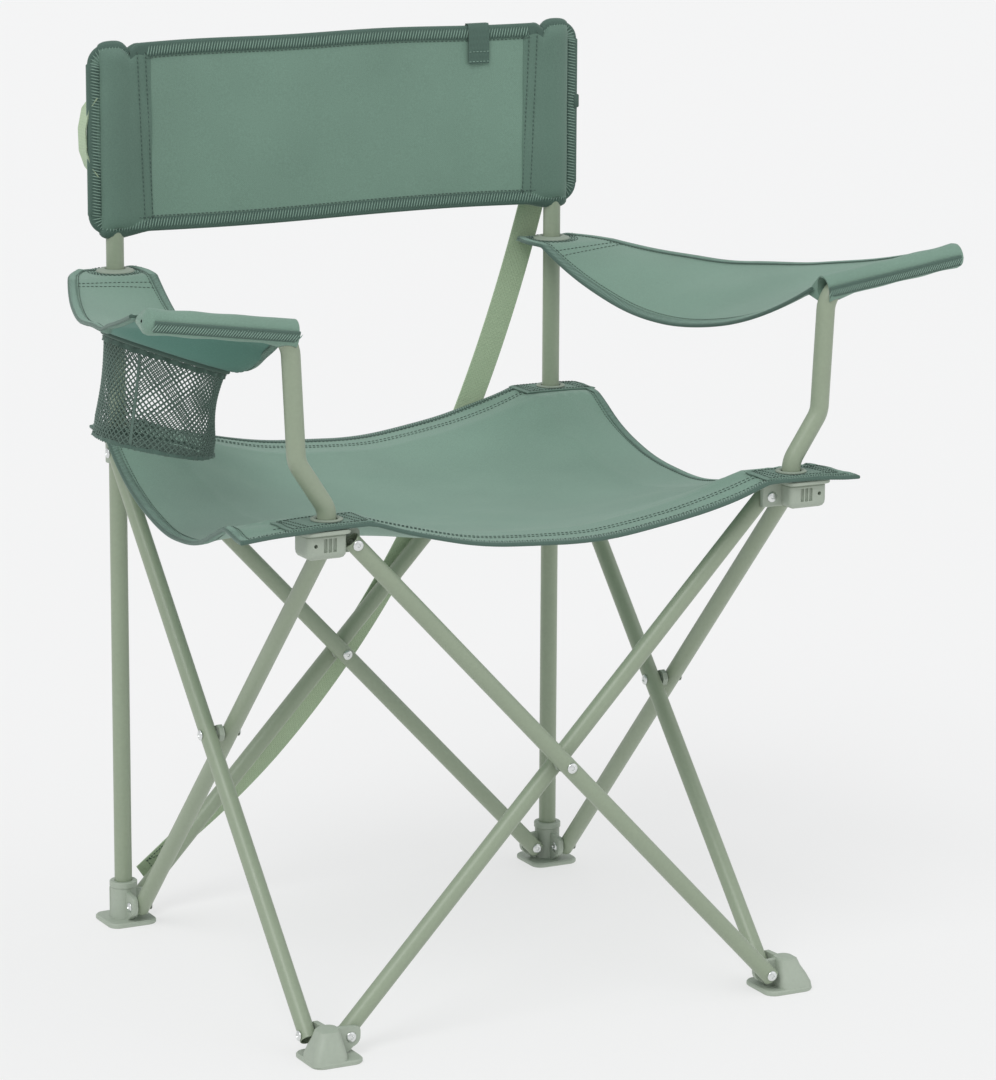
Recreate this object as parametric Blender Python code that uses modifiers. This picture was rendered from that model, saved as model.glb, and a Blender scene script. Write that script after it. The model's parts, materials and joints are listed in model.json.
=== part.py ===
"""Folding camping armchair: eight crossed tubes, two uprights, a sling seat, a cup holder.

Metres, +Z up, standing open on z = 0. The sitter faces -Y, and +X is the right of someone who
looks at the chair from the front. The origin is on the floor, at the middle of the four feet.
Each side of the square frame is a scissor: two tubes of one length, riveted at their middles.
"""

import math

import bmesh
import bpy
from mathutils import Matrix, Vector

# --- Frame --------------------------------------------------------------------------------------
CORNER = 0.220  # from the middle of the chair to each upright's or arm tube's axis, along X and Y
PIVOT_CLEARANCE = 0.002  # between a corner's socket and the side of a tube that stands upright
FOOT_PIVOT_Z = 0.018
SEAT_PIVOT_Z = 0.443
GAP = 0.0003  # between pieces that touch
FIN = 0.005  # thickness of the plastic fins that the tubes are riveted to

TUBE_R = 0.0075
TUBE_WALL = 0.001
TUBE_TAIL = 0.005  # how far a crossed tube runs past its end pivots
UPRIGHT_R = 0.008
UPRIGHT_WALL = 0.001
UPRIGHT_BOTTOM = 0.006
ARM_TUBE_R = 0.008
ARM_TUBE_WALL = 0.0012

# --- Plastic feet, brackets and sleeves ---------------------------------------------------------
FOOT_HALF = 0.027
PLATE_ROUND = 0.008
FOOT_PLATE = 0.004
LUG_R = 0.009  # round end of a fin, about its pivot
SOCKET_WALL = 0.0022
SOCKET_CLEARANCE = 0.0003
SOCKET_TOP = 0.043
HUB_BELOW = 0.013  # a bracket or a sleeve reaches this far under its pivots
HUB_ABOVE = 0.013
SLIDE_CLEARANCE = 0.0004  # around an upright, inside a sleeve that slides on it
BRACKET_PLATE = 0.003
BRACKET_PLATE_HALF = 0.024
BRACKET_FLOOR = 0.003  # the plastic left under the arm tube

# --- Rivets -------------------------------------------------------------------------------------
RIVET_R = 0.0025
RIVET_HEAD_R = 0.0046
RIVET_HEAD = 0.0014
RIVET_CLEARANCE = 0.0003

# --- Arm tubes: the path of the right one, from the bracket up, as distance out from CORNER ------
ARM_LEAN = 0.029  # heights of its bends above the seat's pivots
ARM_STEM_OUT = 0.027
ARM_STEM = 0.070
ARM_BAR_OUT = 0.0325
ARM_BAR = 0.178
ARM_END_OUT = 0.166
ARM_END = 0.197
ARM_BEND_R = 0.024

# --- Seat ---------------------------------------------------------------------------------------
SEAT_LIFT = 0.0045  # from the top of a hub to the middle of the cloth
SEAT_CLOTH = 0.002
SEAT_REAR_PAST = 0.012  # cloth behind the rear corners' axes
SEAT_SIDE_PAST_FRONT = 0.052
SEAT_SIDE_PAST_REAR = 0.028
SEAT_PAD = 0.032  # flat cloth around each corner
SEAT_SAG_X = 0.040
SEAT_SAG_Y = 0.044
SEAT_SAG_BACK = 0.018  # how much the two sags give back in the middle
BINDING = 0.008
BINDING_THICK = 0.0036
SEAT_FRONT_PAST = FOOT_HALF - BINDING - GAP  # its tape reaches as far forward as the feet

# --- Armrests -----------------------------------------------------------------------------------
ARMREST_CLOTH = 0.002
ARMREST_DROP = 0.019  # from the arm bar's bend down to the cloth at the upright
ARMREST_REAR_PAST = 0.019
ARMREST_REAR_IN = 0.033
ARMREST_REAR_OUT = 0.036
ARMREST_PAD = 0.030
ARMREST_SAG_INNER = 0.056
ARMREST_SAG_OUTER = 0.018
ARMREST_SAG_CUP = 0.036  # at the outer edge of the one that carries the cup holder
ARMREST_CUP_BULGE = 0.014
HEM_CLEARANCE = 0.0006
HEM_WALL = 0.0016
RING_WALL = 0.004
RING_HEIGHT = 0.008
RING_FLANGE_R = 0.021
RING_FLANGE = 0.0014
RING_CLEARANCE = 0.0008

# --- Cup holder, on the left armrest --------------------------------------------------------------
CUP_OUT = 0.085  # out from CORNER to the middle of the ring
CUP_BACK = 0.130  # back from the arm bar
CUP_DROP = 0.033  # from the arm bar's bend
CUP_TILT = math.radians(20)  # down toward the sitter
CUP_RING_R = 0.0555
CUP_RING_WIDTH = 0.006
CUP_RING_THICK = 0.004
CUP_DEPTH = 0.084
CUP_BOTTOM_R = 0.047
CUP_WALL = 0.0015

# --- Backrest -----------------------------------------------------------------------------------
BACK_LIFT = 0.038  # from the armrests' rear ends to its lower edge
BACK_HEIGHT = 0.166
BACK_CLOTH = 0.003
POCKET_WALL = 0.002
POCKET_CLEARANCE = 0.0008
POCKET_ROOF = 0.004
CAP_THICK = 0.003
CAP_STEM = 0.012
CAP_CLEARANCE = 0.002  # under the pocket's closed end

# --- Carry strap, behind the chair: webbing from a rear foot to the other side of the backrest ----
STRAP_WIDTH = 0.025
STRAP_THICK = 0.0015
STRAP_CLEARANCE = 0.003
STRAP_LOW_Z = 0.030
STRAP_OVERLAP = 0.020  # how far it reaches up behind the backrest
STRAP_LOW_HANDLE = (0.167, 0.090)  # how its slack curve leaves the foot, and reaches the backrest
STRAP_HIGH_HANDLE = (0.095, 0.360)

TUBE_SIDES = 12
ROUND_SIDES = 16
RIVET_SIDES = 8

SOCKET_R = UPRIGHT_R + SOCKET_CLEARANCE + SOCKET_WALL
ARM_SOCKET_R = ARM_TUBE_R + SOCKET_CLEARANCE + SOCKET_WALL
PIVOT_INSET = max(SOCKET_R, ARM_SOCKET_R) + TUBE_R + PIVOT_CLEARANCE
PIVOT = CORNER - PIVOT_INSET  # the tube pivots, toward the middle from each corner
TUBE_OFFSET = FIN / 2 + GAP + TUBE_R  # a crossed tube's axis, off the plane of its fins
HUB_TOP = SEAT_PIVOT_Z + HUB_ABOVE
HUB_BOTTOM = SEAT_PIVOT_Z - HUB_BELOW
SEAT_Z = HUB_TOP + SEAT_LIFT
ARM_LEAN_Z = SEAT_PIVOT_Z + ARM_LEAN
ARM_STEM_Z = SEAT_PIVOT_Z + ARM_STEM
ARM_BAR_Z = SEAT_PIVOT_Z + ARM_BAR
ARM_END_Z = SEAT_PIVOT_Z + ARM_END
ARMREST_REAR_Z = ARM_BAR_Z - ARMREST_DROP
CUP_Z = ARM_BAR_Z - CUP_DROP
BACK_BOTTOM = ARMREST_REAR_Z + BACK_LIFT
BACK_TOP = BACK_BOTTOM + BACK_HEIGHT
UPRIGHT_TOP = BACK_TOP - POCKET_ROOF - CAP_THICK - CAP_CLEARANCE
STRAP_HIGH_Z = BACK_BOTTOM + STRAP_OVERLAP


# --- Helpers --------------------------------------------------------------------------------------
def clear_scene():
    """Remove whatever the scene holds."""
    for item in list(bpy.data.objects):
        bpy.data.objects.remove(item, do_unlink=True)


def collection(name):
    """A new collection in the scene."""
    made = bpy.data.collections.new(name)
    bpy.context.scene.collection.children.link(made)
    return made


def material(name, colour, roughness, metallic=0.0):
    """A plain finish."""
    made = bpy.data.materials.new(name)
    made.use_nodes = True
    shader = made.node_tree.nodes["Principled BSDF"]
    shader.inputs["Base Color"].default_value = (*colour, 1.0)
    shader.inputs["Roughness"].default_value = roughness
    shader.inputs["Metallic"].default_value = metallic
    return made


def add(name, data):
    """An object of this mesh or curve, in the chair's collection."""
    made = bpy.data.objects.new(name, data)
    PARTS.objects.link(made)
    return made


def bake(item):
    """Make an object's modifiers, or a curve's bevel, its real mesh."""
    bpy.context.view_layer.update()
    graph = bpy.context.evaluated_depsgraph_get()
    mesh = bpy.data.meshes.new_from_object(item.evaluated_get(graph))
    welder = bmesh.new()
    welder.from_mesh(mesh)
    bmesh.ops.remove_doubles(welder, verts=welder.verts, dist=1e-6)
    welder.to_mesh(mesh)
    welder.free()
    baked = add(item.name + "_baked", mesh)
    baked.matrix_world = item.matrix_world.copy()
    name = item.name
    bpy.data.objects.remove(item, do_unlink=True)
    baked.name = name
    mesh.transform(baked.matrix_world)
    baked.matrix_world = Matrix.Identity(4)
    return baked


def cylinder(name, radius, start, end, sides=ROUND_SIDES):
    """A solid cylinder between two points."""
    start, end = Vector(start), Vector(end)
    builder = bmesh.new()
    bmesh.ops.create_cone(
        builder, cap_ends=True, segments=sides, radius1=radius, radius2=radius, depth=(end - start).length
    )
    mesh = bpy.data.meshes.new(name)
    builder.to_mesh(mesh)
    builder.free()
    turn = (end - start).to_track_quat("Z", "Y").to_matrix().to_4x4()
    mesh.transform(Matrix.Translation((start + end) / 2) @ turn)
    return add(name, mesh)


def rivet_hole(start, end):
    """The drill for a rivet's hole."""
    return cylinder("hole", RIVET_R + RIVET_CLEARANCE, start, end, RIVET_SIDES)


def around(radius):
    """A bore's radius whose flat facets stay clear of a round piece of this radius."""
    return (radius + GAP) / math.cos(math.pi / ROUND_SIDES)


def box(name, low, high):
    """A solid box between two corners."""
    low, high = Vector(low), Vector(high)
    builder = bmesh.new()
    bmesh.ops.create_cube(builder, size=1)
    mesh = bpy.data.meshes.new(name)
    builder.to_mesh(mesh)
    builder.free()
    mesh.transform(Matrix.Translation((low + high) / 2) @ Matrix.Diagonal((*(high - low), 1)))
    return add(name, mesh)


def turned(name, profile, steps=ROUND_SIDES):
    """A solid turned about Z from a closed profile of (radius, height), listed top to bottom outside."""
    mesh = bpy.data.meshes.new(name)
    loop = [(index, (index + 1) % len(profile)) for index in range(len(profile))]
    mesh.from_pydata([(radius, 0, height) for radius, height in profile], loop, [])
    made = add(name, mesh)
    screw = made.modifiers.new("Turn", "SCREW")
    screw.steps = steps
    screw.render_steps = steps
    screw.use_merge_vertices = True
    screw.merge_threshold = 1e-5
    return bake(made)


def tube(name, outer, wall, start, end, sides):
    """A straight open-ended tube between two points."""
    start, end = Vector(start), Vector(end)
    length = (end - start).length
    made = turned(name, [(outer, length), (outer, 0), (outer - wall, 0), (outer - wall, length)], sides)
    turn = (end - start).to_track_quat("Z", "Y").to_matrix().to_4x4()
    made.data.transform(Matrix.Translation(start) @ turn)
    return made


def prism(name, outline, thickness, frame):
    """A flat outline of (x, y), given a thickness about its own plane and placed by a matrix."""
    curve = bpy.data.curves.new(name, "CURVE")
    curve.dimensions = "2D"
    curve.fill_mode = "BOTH"
    curve.extrude = thickness / 2
    spline = curve.splines.new("POLY")
    spline.points.add(len(outline) - 1)
    for point, (x, y) in zip(spline.points, outline):
        point.co = (x, y, 0, 1)
    spline.use_cyclic_u = True
    made = add(name, curve)
    made.matrix_world = frame
    return bake(made)


def rod(name, points, radius, sides_level=2):
    """A round rod along points, with closed ends."""
    curve = bpy.data.curves.new(name, "CURVE")
    curve.dimensions = "3D"
    curve.bevel_depth = radius
    curve.bevel_resolution = sides_level
    curve.use_fill_caps = True
    spline = curve.splines.new("POLY")
    spline.points.add(len(points) - 1)
    for target, point in zip(spline.points, points):
        target.co = (*point, 1)
    return bake(add(name, curve))


def sheet(name, columns, rows, place, thickness):
    """Cloth of even thickness over a grid, whose point at (u, v), each from -1 to 1, place() sets."""
    builder = bmesh.new()
    bmesh.ops.create_grid(builder, x_segments=columns, y_segments=rows, size=1)
    for vertex in builder.verts:
        vertex.co = place(vertex.co.x, vertex.co.y)
    bmesh.ops.recalc_face_normals(builder, faces=builder.faces)
    mesh = bpy.data.meshes.new(name)
    builder.to_mesh(mesh)
    builder.free()
    made = add(name, mesh)
    solid = made.modifiers.new("Thickness", "SOLIDIFY")
    solid.thickness = thickness
    solid.offset = 0
    made = bake(made)
    outward(made)
    return made


def outward(item):
    """Turn every face to point out."""
    builder = bmesh.new()
    builder.from_mesh(item.data)
    bmesh.ops.recalc_face_normals(builder, faces=builder.faces)
    builder.to_mesh(item.data)
    builder.free()


def combine(item, tool, operation):
    """Join a tool to an object, or cut it from the object, and drop the tool."""
    boolean = item.modifiers.new(operation.title(), "BOOLEAN")
    boolean.operation = operation
    boolean.object = tool
    made = bake(item)
    bpy.data.objects.remove(tool, do_unlink=True)
    return made


def finish(item, surface):
    """Give an object its material and smooth round faces."""
    item.data.materials.clear()
    item.data.materials.append(surface)
    item.data.shade_smooth()
    item.data.set_sharp_from_angle(angle=math.radians(35))
    return item


def hang(empty_name, position, names):
    """Parent pieces that move together to an empty on their joint's axis."""
    pivot = bpy.data.objects.new(empty_name, None)
    PARTS.objects.link(pivot)
    pivot.location = position
    bpy.context.view_layer.update()
    for name in names:
        piece = bpy.data.objects[name]
        piece.parent = pivot
        piece.matrix_parent_inverse = pivot.matrix_world.inverted()


def arc(centre, radius, first, last, steps):
    """Points of an arc, angles in degrees."""
    angles = [math.radians(first + (last - first) * step / steps) for step in range(steps + 1)]
    return [(centre[0] + radius * math.cos(a), centre[1] + radius * math.sin(a)) for a in angles]


def rounded(points, radius, steps=4):
    """A path in the plane through corners, with each inner corner rounded to a radius."""
    path = [Vector(points[0])]
    for before, corner, after in zip(points, points[1:], points[2:]):
        corner = Vector(corner)
        back = (Vector(before) - corner).normalized()
        ahead = (Vector(after) - corner).normalized()
        half = back.angle(ahead) / 2
        reach = radius / math.tan(half)
        middle = corner + (back + ahead).normalized() * (radius / math.sin(half))
        start = corner + back * reach - middle
        swing = start.angle_signed(corner + ahead * reach - middle)
        for step in range(steps + 1):
            path.append(middle + Matrix.Rotation(-swing * step / steps, 2) @ start)
    path.append(Vector(points[-1]))
    return path


# --- Feet, brackets and sleeves --------------------------------------------------------------------
def fin_frames(side_x, side_y):
    """Frames of a corner's two fins: local x runs from the corner toward the middle, local y runs up."""
    corner = Vector((side_x * CORNER, side_y * CORNER, 0))
    along_x = Matrix(((-side_x, 0, 0, 0), (0, 0, side_x, 0), (0, 1, 0, 0), (0, 0, 0, 1)))
    along_y = Matrix(((0, 0, -side_y, 0), (-side_y, 0, 0, 0), (0, 1, 0, 0), (0, 0, 0, 1)))
    place = Matrix.Translation(corner)
    return place @ along_x, place @ along_y


def fin_outline(root, pivot_z, bottom):
    """A fin from inside its socket's wall, at root, to its round lug. A foot's runs down into its plate."""
    lug = arc((PIVOT_INSET, pivot_z), LUG_R, 0, 90, 4)
    if bottom < pivot_z - LUG_R:
        return [(root, bottom), (PIVOT_INSET + LUG_R, bottom), *lug, (root, pivot_z + LUG_R)]
    under = arc((PIVOT_INSET, pivot_z), LUG_R, -90, -22.5, 3)
    return [(root, pivot_z - LUG_R), *under, *lug, (root, pivot_z + LUG_R)]


def with_fins(item, side_x, side_y, socket_r, pivot_z, bottom):
    """Add both fins to a corner piece whose socket has this radius, and drill their rivet holes."""
    outline = fin_outline(socket_r - SOCKET_WALL / 2, pivot_z, bottom)
    for frame in fin_frames(side_x, side_y):
        item = combine(item, prism("fin", outline, FIN, frame), "UNION")
    for centre, axis in pivots_of(side_x, side_y, pivot_z):
        hole = rivet_hole(centre - axis * FIN, centre + axis * FIN)
        item = combine(item, hole, "DIFFERENCE")
    return item


def pivots_of(side_x, side_y, pivot_z):
    """A corner's two pivots, each as its point on the fin's middle plane and its axis."""
    return (
        (Vector((side_x * PIVOT, side_y * CORNER, pivot_z)), Vector((0, 1, 0))),
        (Vector((side_x * CORNER, side_y * PIVOT, pivot_z)), Vector((1, 0, 0))),
    )


def square_plate(name, half, low, high, side_x, side_y):
    """A rounded square plate about a corner's axis."""
    inner = half - PLATE_ROUND
    outline = []
    for turn, (x, y) in enumerate(((1, 1), (-1, 1), (-1, -1), (1, -1))):
        outline += arc((x * inner, y * inner), PLATE_ROUND, 90 * turn, 90 * turn + 90, 3)
    place = Matrix.Translation((side_x * CORNER, side_y * CORNER, (low + high) / 2))
    return prism(name, outline, high - low, place)


def foot(name, side_x, side_y):
    """A foot: a plate, two fins, and at the rear a socket that holds the upright."""
    x, y = side_x * CORNER, side_y * CORNER
    rear = side_y > 0
    post_top = SOCKET_TOP if rear else FOOT_PIVOT_Z + LUG_R
    item = square_plate(name, FOOT_HALF, 0, FOOT_PLATE, side_x, side_y)
    sink = FOOT_PLATE / 2
    item = combine(item, cylinder("post", SOCKET_R, (x, y, sink), (x, y, post_top)), "UNION")
    item = with_fins(item, side_x, side_y, SOCKET_R, FOOT_PIVOT_Z, sink)
    if rear:
        bore = cylinder(
            "bore", UPRIGHT_R + SOCKET_CLEARANCE, (x, y, UPRIGHT_BOTTOM - GAP), (x, y, post_top + FIN)
        )
        item = combine(item, bore, "DIFFERENCE")
    return finish(item, PLASTIC)


def front_bracket(name, side_x, side_y=-1):
    """A bracket under a front corner of the seat. It holds the arm tube and two crossed tubes."""
    x, y = side_x * CORNER, side_y * CORNER
    item = square_plate(name, BRACKET_PLATE_HALF, HUB_TOP - BRACKET_PLATE, HUB_TOP, side_x, side_y)
    under_plate = HUB_TOP - BRACKET_PLATE / 2
    item = combine(item, cylinder("post", ARM_SOCKET_R, (x, y, HUB_BOTTOM), (x, y, under_plate)), "UNION")
    item = with_fins(item, side_x, side_y, ARM_SOCKET_R, SEAT_PIVOT_Z, SEAT_PIVOT_Z - LUG_R)
    bore = cylinder(
        "bore", ARM_TUBE_R + SOCKET_CLEARANCE, (x, y, HUB_BOTTOM + BRACKET_FLOOR), (x, y, HUB_TOP + FIN)
    )
    return finish(combine(item, bore, "DIFFERENCE"), PLASTIC)


def rear_sleeve(name, side_x, side_y=1):
    """A sleeve that slides up its upright as the chair folds."""
    x, y = side_x * CORNER, side_y * CORNER
    outer = SOCKET_R + SLIDE_CLEARANCE
    item = cylinder(name, outer, (x, y, HUB_BOTTOM), (x, y, HUB_TOP))
    item = with_fins(item, side_x, side_y, SOCKET_R, SEAT_PIVOT_Z, SEAT_PIVOT_Z - LUG_R)
    bore = cylinder("bore", UPRIGHT_R + SLIDE_CLEARANCE, (x, y, HUB_BOTTOM - FIN), (x, y, HUB_TOP + FIN))
    return finish(combine(item, bore, "DIFFERENCE"), PLASTIC)


# --- Tubes -------------------------------------------------------------------------------------------
def crossed_tube(name, low, high, axis, side):
    """A tube from a low pivot to a high one, on one side of the fins, with three rivet holes.

    Its object's origin is on its low pivot.
    """
    offset = axis * side * TUBE_OFFSET
    low, high = Vector(low) + offset, Vector(high) + offset
    along = (high - low).normalized()
    item = tube(name, TUBE_R, TUBE_WALL, low - along * TUBE_TAIL, high + along * TUBE_TAIL, TUBE_SIDES)
    for point in (low, (low + high) / 2, high):
        reach = axis * (TUBE_R + FIN)
        item = combine(item, rivet_hole(point - reach, point + reach), "DIFFERENCE")
    item.data.transform(Matrix.Translation(-low))
    item.location = low
    return finish(item, PAINT)


def upright(name, side_x):
    """A rear upright, from its foot's socket into the backrest."""
    x, y = side_x * CORNER, CORNER
    item = tube(
        name, UPRIGHT_R, UPRIGHT_WALL, (x, y, UPRIGHT_BOTTOM), (x, y, UPRIGHT_TOP), ROUND_SIDES
    )
    return finish(item, PAINT)


def upright_cap(name, side_x):
    """A plastic plug in the top of an upright, which saves the cloth from its edge."""
    stem = UPRIGHT_R - UPRIGHT_WALL - SOCKET_CLEARANCE
    low = UPRIGHT_TOP + GAP
    item = turned(
        name,
        [
            (0, low + CAP_THICK),
            (UPRIGHT_R * 0.7, low + CAP_THICK),
            (UPRIGHT_R, low + CAP_THICK * 0.5),
            (UPRIGHT_R, low),
            (stem, low),
            (stem, low - CAP_STEM),
            (0, low - CAP_STEM),
        ],
    )
    item.data.transform(Matrix.Translation((side_x * CORNER, CORNER, 0)))
    return finish(item, PLASTIC)


def arm_path(side_x, first_z, past_end=0.0):
    """The arm tube's path, in the plane of the front fins."""
    bar = Vector((CORNER + ARM_BAR_OUT, ARM_BAR_Z))
    end = Vector((CORNER + ARM_END_OUT, ARM_END_Z))
    end += (end - bar).normalized() * past_end
    corners = [
        (CORNER, first_z),
        (CORNER, ARM_LEAN_Z),
        (CORNER + ARM_STEM_OUT, ARM_STEM_Z),
        tuple(bar),
        tuple(end),
    ]
    return [(side_x * point.x, -CORNER, point.y) for point in rounded(corners, ARM_BEND_R)]


def arm_tube(name, side_x):
    """A bent tube from the front bracket to the armrest's hem."""
    low = HUB_BOTTOM + BRACKET_FLOOR + GAP
    item = rod(name, arm_path(side_x, low), ARM_TUBE_R)
    hollow = rod("hollow", arm_path(side_x, low - GAP, GAP), ARM_TUBE_R - ARM_TUBE_WALL)
    return finish(combine(item, hollow, "DIFFERENCE"), PAINT)


# --- Rivets --------------------------------------------------------------------------------------------
def rivet(name, centre, axis, low, high):
    """A rivet along an axis, whose heads close on a stack from low to high, each with a small gap."""
    top, bottom = high + GAP, low - GAP
    item = turned(
        name,
        [
            (0, top + RIVET_HEAD),
            (RIVET_HEAD_R, top + RIVET_HEAD / 2),
            (RIVET_HEAD_R, top),
            (RIVET_R, top),
            (RIVET_R, bottom),
            (RIVET_HEAD_R, bottom),
            (RIVET_HEAD_R, bottom - RIVET_HEAD / 2),
            (0, bottom - RIVET_HEAD),
        ],
        RIVET_SIDES,
    )
    turn = axis.to_track_quat("Z", "Y").to_matrix().to_4x4()
    item.data.transform(Matrix.Translation(centre) @ turn)
    return finish(item, ZINC)


def end_rivet(name, centre, axis, side):
    """The rivet of a fin and of one tube, which is on the fin's side of this sign."""
    far = TUBE_OFFSET + TUBE_R
    low, high = (-FIN / 2, far) if side > 0 else (-far, FIN / 2)
    return rivet(name, centre, axis, low, high)


def crossing(name, centre, axis):
    """The rivet and the spacer where two tubes cross."""
    far = TUBE_OFFSET + TUBE_R
    rivet(f"{name}_crossing_rivet", centre, axis, -far, far)
    outer, inner, half = TUBE_R, RIVET_R + RIVET_CLEARANCE, FIN / 2 - GAP / 2
    profile = [(outer, half), (outer, -half), (inner, -half), (inner, half)]
    spacer = turned(f"{name}_crossing_spacer", profile, RIVET_SIDES)
    spacer.data.transform(Matrix.Translation(centre) @ axis.to_track_quat("Z", "Y").to_matrix().to_4x4())
    finish(spacer, PLASTIC)


# --- Cloth ---------------------------------------------------------------------------------------------
def seat_height(x, y):
    """The seat's height: flat about each corner, sagging between them."""
    flat = CORNER - SEAT_PAD
    across = 1 - min(1, abs(x) / flat) ** 2
    along = 1 - min(1, abs(y) / flat) ** 2
    return SEAT_Z - SEAT_SAG_X * across - SEAT_SAG_Y * along + SEAT_SAG_BACK * across * along


def seat_side(y):
    """Half the seat cloth's width at y."""
    front, rear = -CORNER - SEAT_FRONT_PAST, CORNER + SEAT_REAR_PAST
    share = min(1, max(0, (y - front) / (rear - front)))
    return CORNER + SEAT_SIDE_PAST_FRONT + (SEAT_SIDE_PAST_REAR - SEAT_SIDE_PAST_FRONT) * share


def seat_panel():
    """The seat cloth, with a hole for the tube at each corner."""
    front, rear = -CORNER - SEAT_FRONT_PAST, CORNER + SEAT_REAR_PAST

    def place(u, v):
        y = front + (rear - front) * (v + 1) / 2
        x = u * seat_side(y)
        return x, y, seat_height(x, y)

    item = sheet("seat_panel", 14, 14, place, SEAT_CLOTH)
    for side_x in (-1, 1):
        for side_y in (-1, 1):
            radius = (ARM_TUBE_R if side_y < 0 else UPRIGHT_R) + RING_CLEARANCE
            x, y = side_x * CORNER, side_y * CORNER
            hole = cylinder("hole", radius, (x, y, SEAT_Z - FIN), (x, y, SEAT_Z + FIN))
            item = combine(item, hole, "DIFFERENCE")
    return finish(item, CLOTH)


def seat_binding(name, side_y):
    """The tape on the seat's front or rear edge, from corner to corner."""
    edge = CORNER + (SEAT_REAR_PAST if side_y > 0 else SEAT_FRONT_PAST) + GAP

    def place(u, v):
        y = side_y * (edge + BINDING * (v + 1) / 2)
        x = u * (seat_side(side_y * edge) + GAP + BINDING)
        return x, y, seat_height(x, y)

    return finish(sheet(name, 14, 1, place, BINDING_THICK), TAPE)


def seat_side_binding(name, side_x):
    """The tape on one of the seat's sides, between the front and rear tapes."""
    front, rear = -CORNER - SEAT_FRONT_PAST, CORNER + SEAT_REAR_PAST

    def place(u, v):
        y = front + (rear - front) * (v + 1) / 2
        x = side_x * (seat_side(y) + GAP + BINDING * (u + 1) / 2)
        return x, y, seat_height(x, y)

    return finish(sheet(name, 1, 14, place, BINDING_THICK), TAPE)


def armrest_point(side_x, inward, back):
    """A point of an armrest: inward 0 at its outer edge, 1 at its inner; back 0 at the bar, 1 at the rear."""
    length = 2 * CORNER + ARMREST_REAR_PAST
    front = Vector((CORNER + ARM_END_OUT, ARM_END_Z)).lerp(
        Vector((CORNER + ARM_BAR_OUT, ARM_BAR_Z)), inward
    )
    rear = Vector((CORNER + ARMREST_REAR_OUT - (ARMREST_REAR_OUT + ARMREST_REAR_IN) * inward, ARMREST_REAR_Z))
    flat = (2 * CORNER - ARMREST_PAD) / length
    share = min(1, back / flat)
    middle = front.lerp(rear, share)
    outer_sag = ARMREST_SAG_CUP if side_x < 0 else ARMREST_SAG_OUTER
    sag = outer_sag + (ARMREST_SAG_INNER - outer_sag) * inward
    height = middle.y - 4 * sag * share * (1 - share)
    bulge = ARMREST_CUP_BULGE * (1 - inward) * 4 * back * (1 - back) if side_x < 0 else 0
    out = front.x + (rear.x - front.x) * back + bulge
    return side_x * out, -CORNER + length * back, height


def bar_ends(side_x):
    """Two points on the arm bar's axis, where the armrest's hem starts and stops."""
    bar = Vector((side_x * (CORNER + ARM_BAR_OUT), -CORNER, ARM_BAR_Z))
    end = Vector((side_x * (CORNER + ARM_END_OUT), -CORNER, ARM_END_Z))
    along = (end - bar).normalized()
    return bar + along * ARM_BEND_R, end + along * HEM_WALL


def armrest(name, side_x):
    """An armrest: a hem around the arm bar, and cloth to a ring on the upright."""

    def place(u, v):
        start = (ARM_TUBE_R + HEM_CLEARANCE) / (2 * CORNER)
        return armrest_point(side_x, (u + 1) / 2, start + (1 - start) * (v + 1) / 2)

    item = sheet(name, 6, 14, place, ARMREST_CLOTH)
    first, last = bar_ends(side_x)
    outer, inner = ARM_TUBE_R + HEM_CLEARANCE + HEM_WALL, ARM_TUBE_R + HEM_CLEARANCE
    item = combine(item, cylinder("hem", outer, first, last), "UNION")
    along = (last - first).normalized() * HEM_WALL
    item = combine(item, cylinder("hem_bore", inner, first - along * 4, last + along * 4), "DIFFERENCE")
    x = side_x * CORNER
    ring_hole = cylinder(
        "ring_hole",
        around(UPRIGHT_R + RING_CLEARANCE + RING_WALL),
        (x, CORNER, ARMREST_REAR_Z - RING_HEIGHT),
        (x, CORNER, ARMREST_REAR_Z + RING_HEIGHT),
    )
    return combine(item, ring_hole, "DIFFERENCE")


def armrest_ring(name, side_x):
    """The plastic ring that lets an armrest slide on its upright."""
    inner, outer = UPRIGHT_R + RING_CLEARANCE, UPRIGHT_R + RING_CLEARANCE + RING_WALL
    seat = ARMREST_CLOTH / 2 + GAP
    top, bottom = seat + RING_FLANGE, seat + RING_FLANGE - RING_HEIGHT
    item = turned(
        name,
        [
            (RING_FLANGE_R, top),
            (RING_FLANGE_R, seat),
            (outer, seat),
            (outer, bottom),
            (inner, bottom),
            (inner, top),
        ],
    )
    item.data.transform(Matrix.Translation((side_x * CORNER, CORNER, ARMREST_REAR_Z)))
    return finish(item, PLASTIC)


def cup_frame():
    """The cup holder's frame: its ring lies in the plane of local x and y, and the net hangs down local z."""
    centre = Vector((-CORNER - CUP_OUT, -CORNER + CUP_BACK, CUP_Z))
    return Matrix.Translation(centre) @ Matrix.Rotation(CUP_TILT, 4, "Y")


def cup_holder():
    """The stiff ring in the left armrest, and the net that hangs under it."""
    frame = cup_frame()
    inner, half = CUP_RING_R - CUP_RING_WIDTH, CUP_RING_THICK / 2
    ring = turned(
        "cup_ring", [(CUP_RING_R, half), (CUP_RING_R, -half), (inner, -half), (inner, half)]
    )
    ring.data.transform(frame)
    finish(ring, TAPE)
    top, bottom = -half - GAP, -CUP_DEPTH
    rim = CUP_RING_R - CUP_WALL
    net = turned(
        "cup_net",
        [
            (rim, top),
            (CUP_BOTTOM_R, bottom),
            (0, bottom),
            (0, bottom + CUP_WALL),
            (CUP_BOTTOM_R - CUP_WALL, bottom + CUP_WALL),
            (rim - CUP_WALL, top),
        ],
    )
    net.data.transform(frame)
    finish(net, NET)


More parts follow.
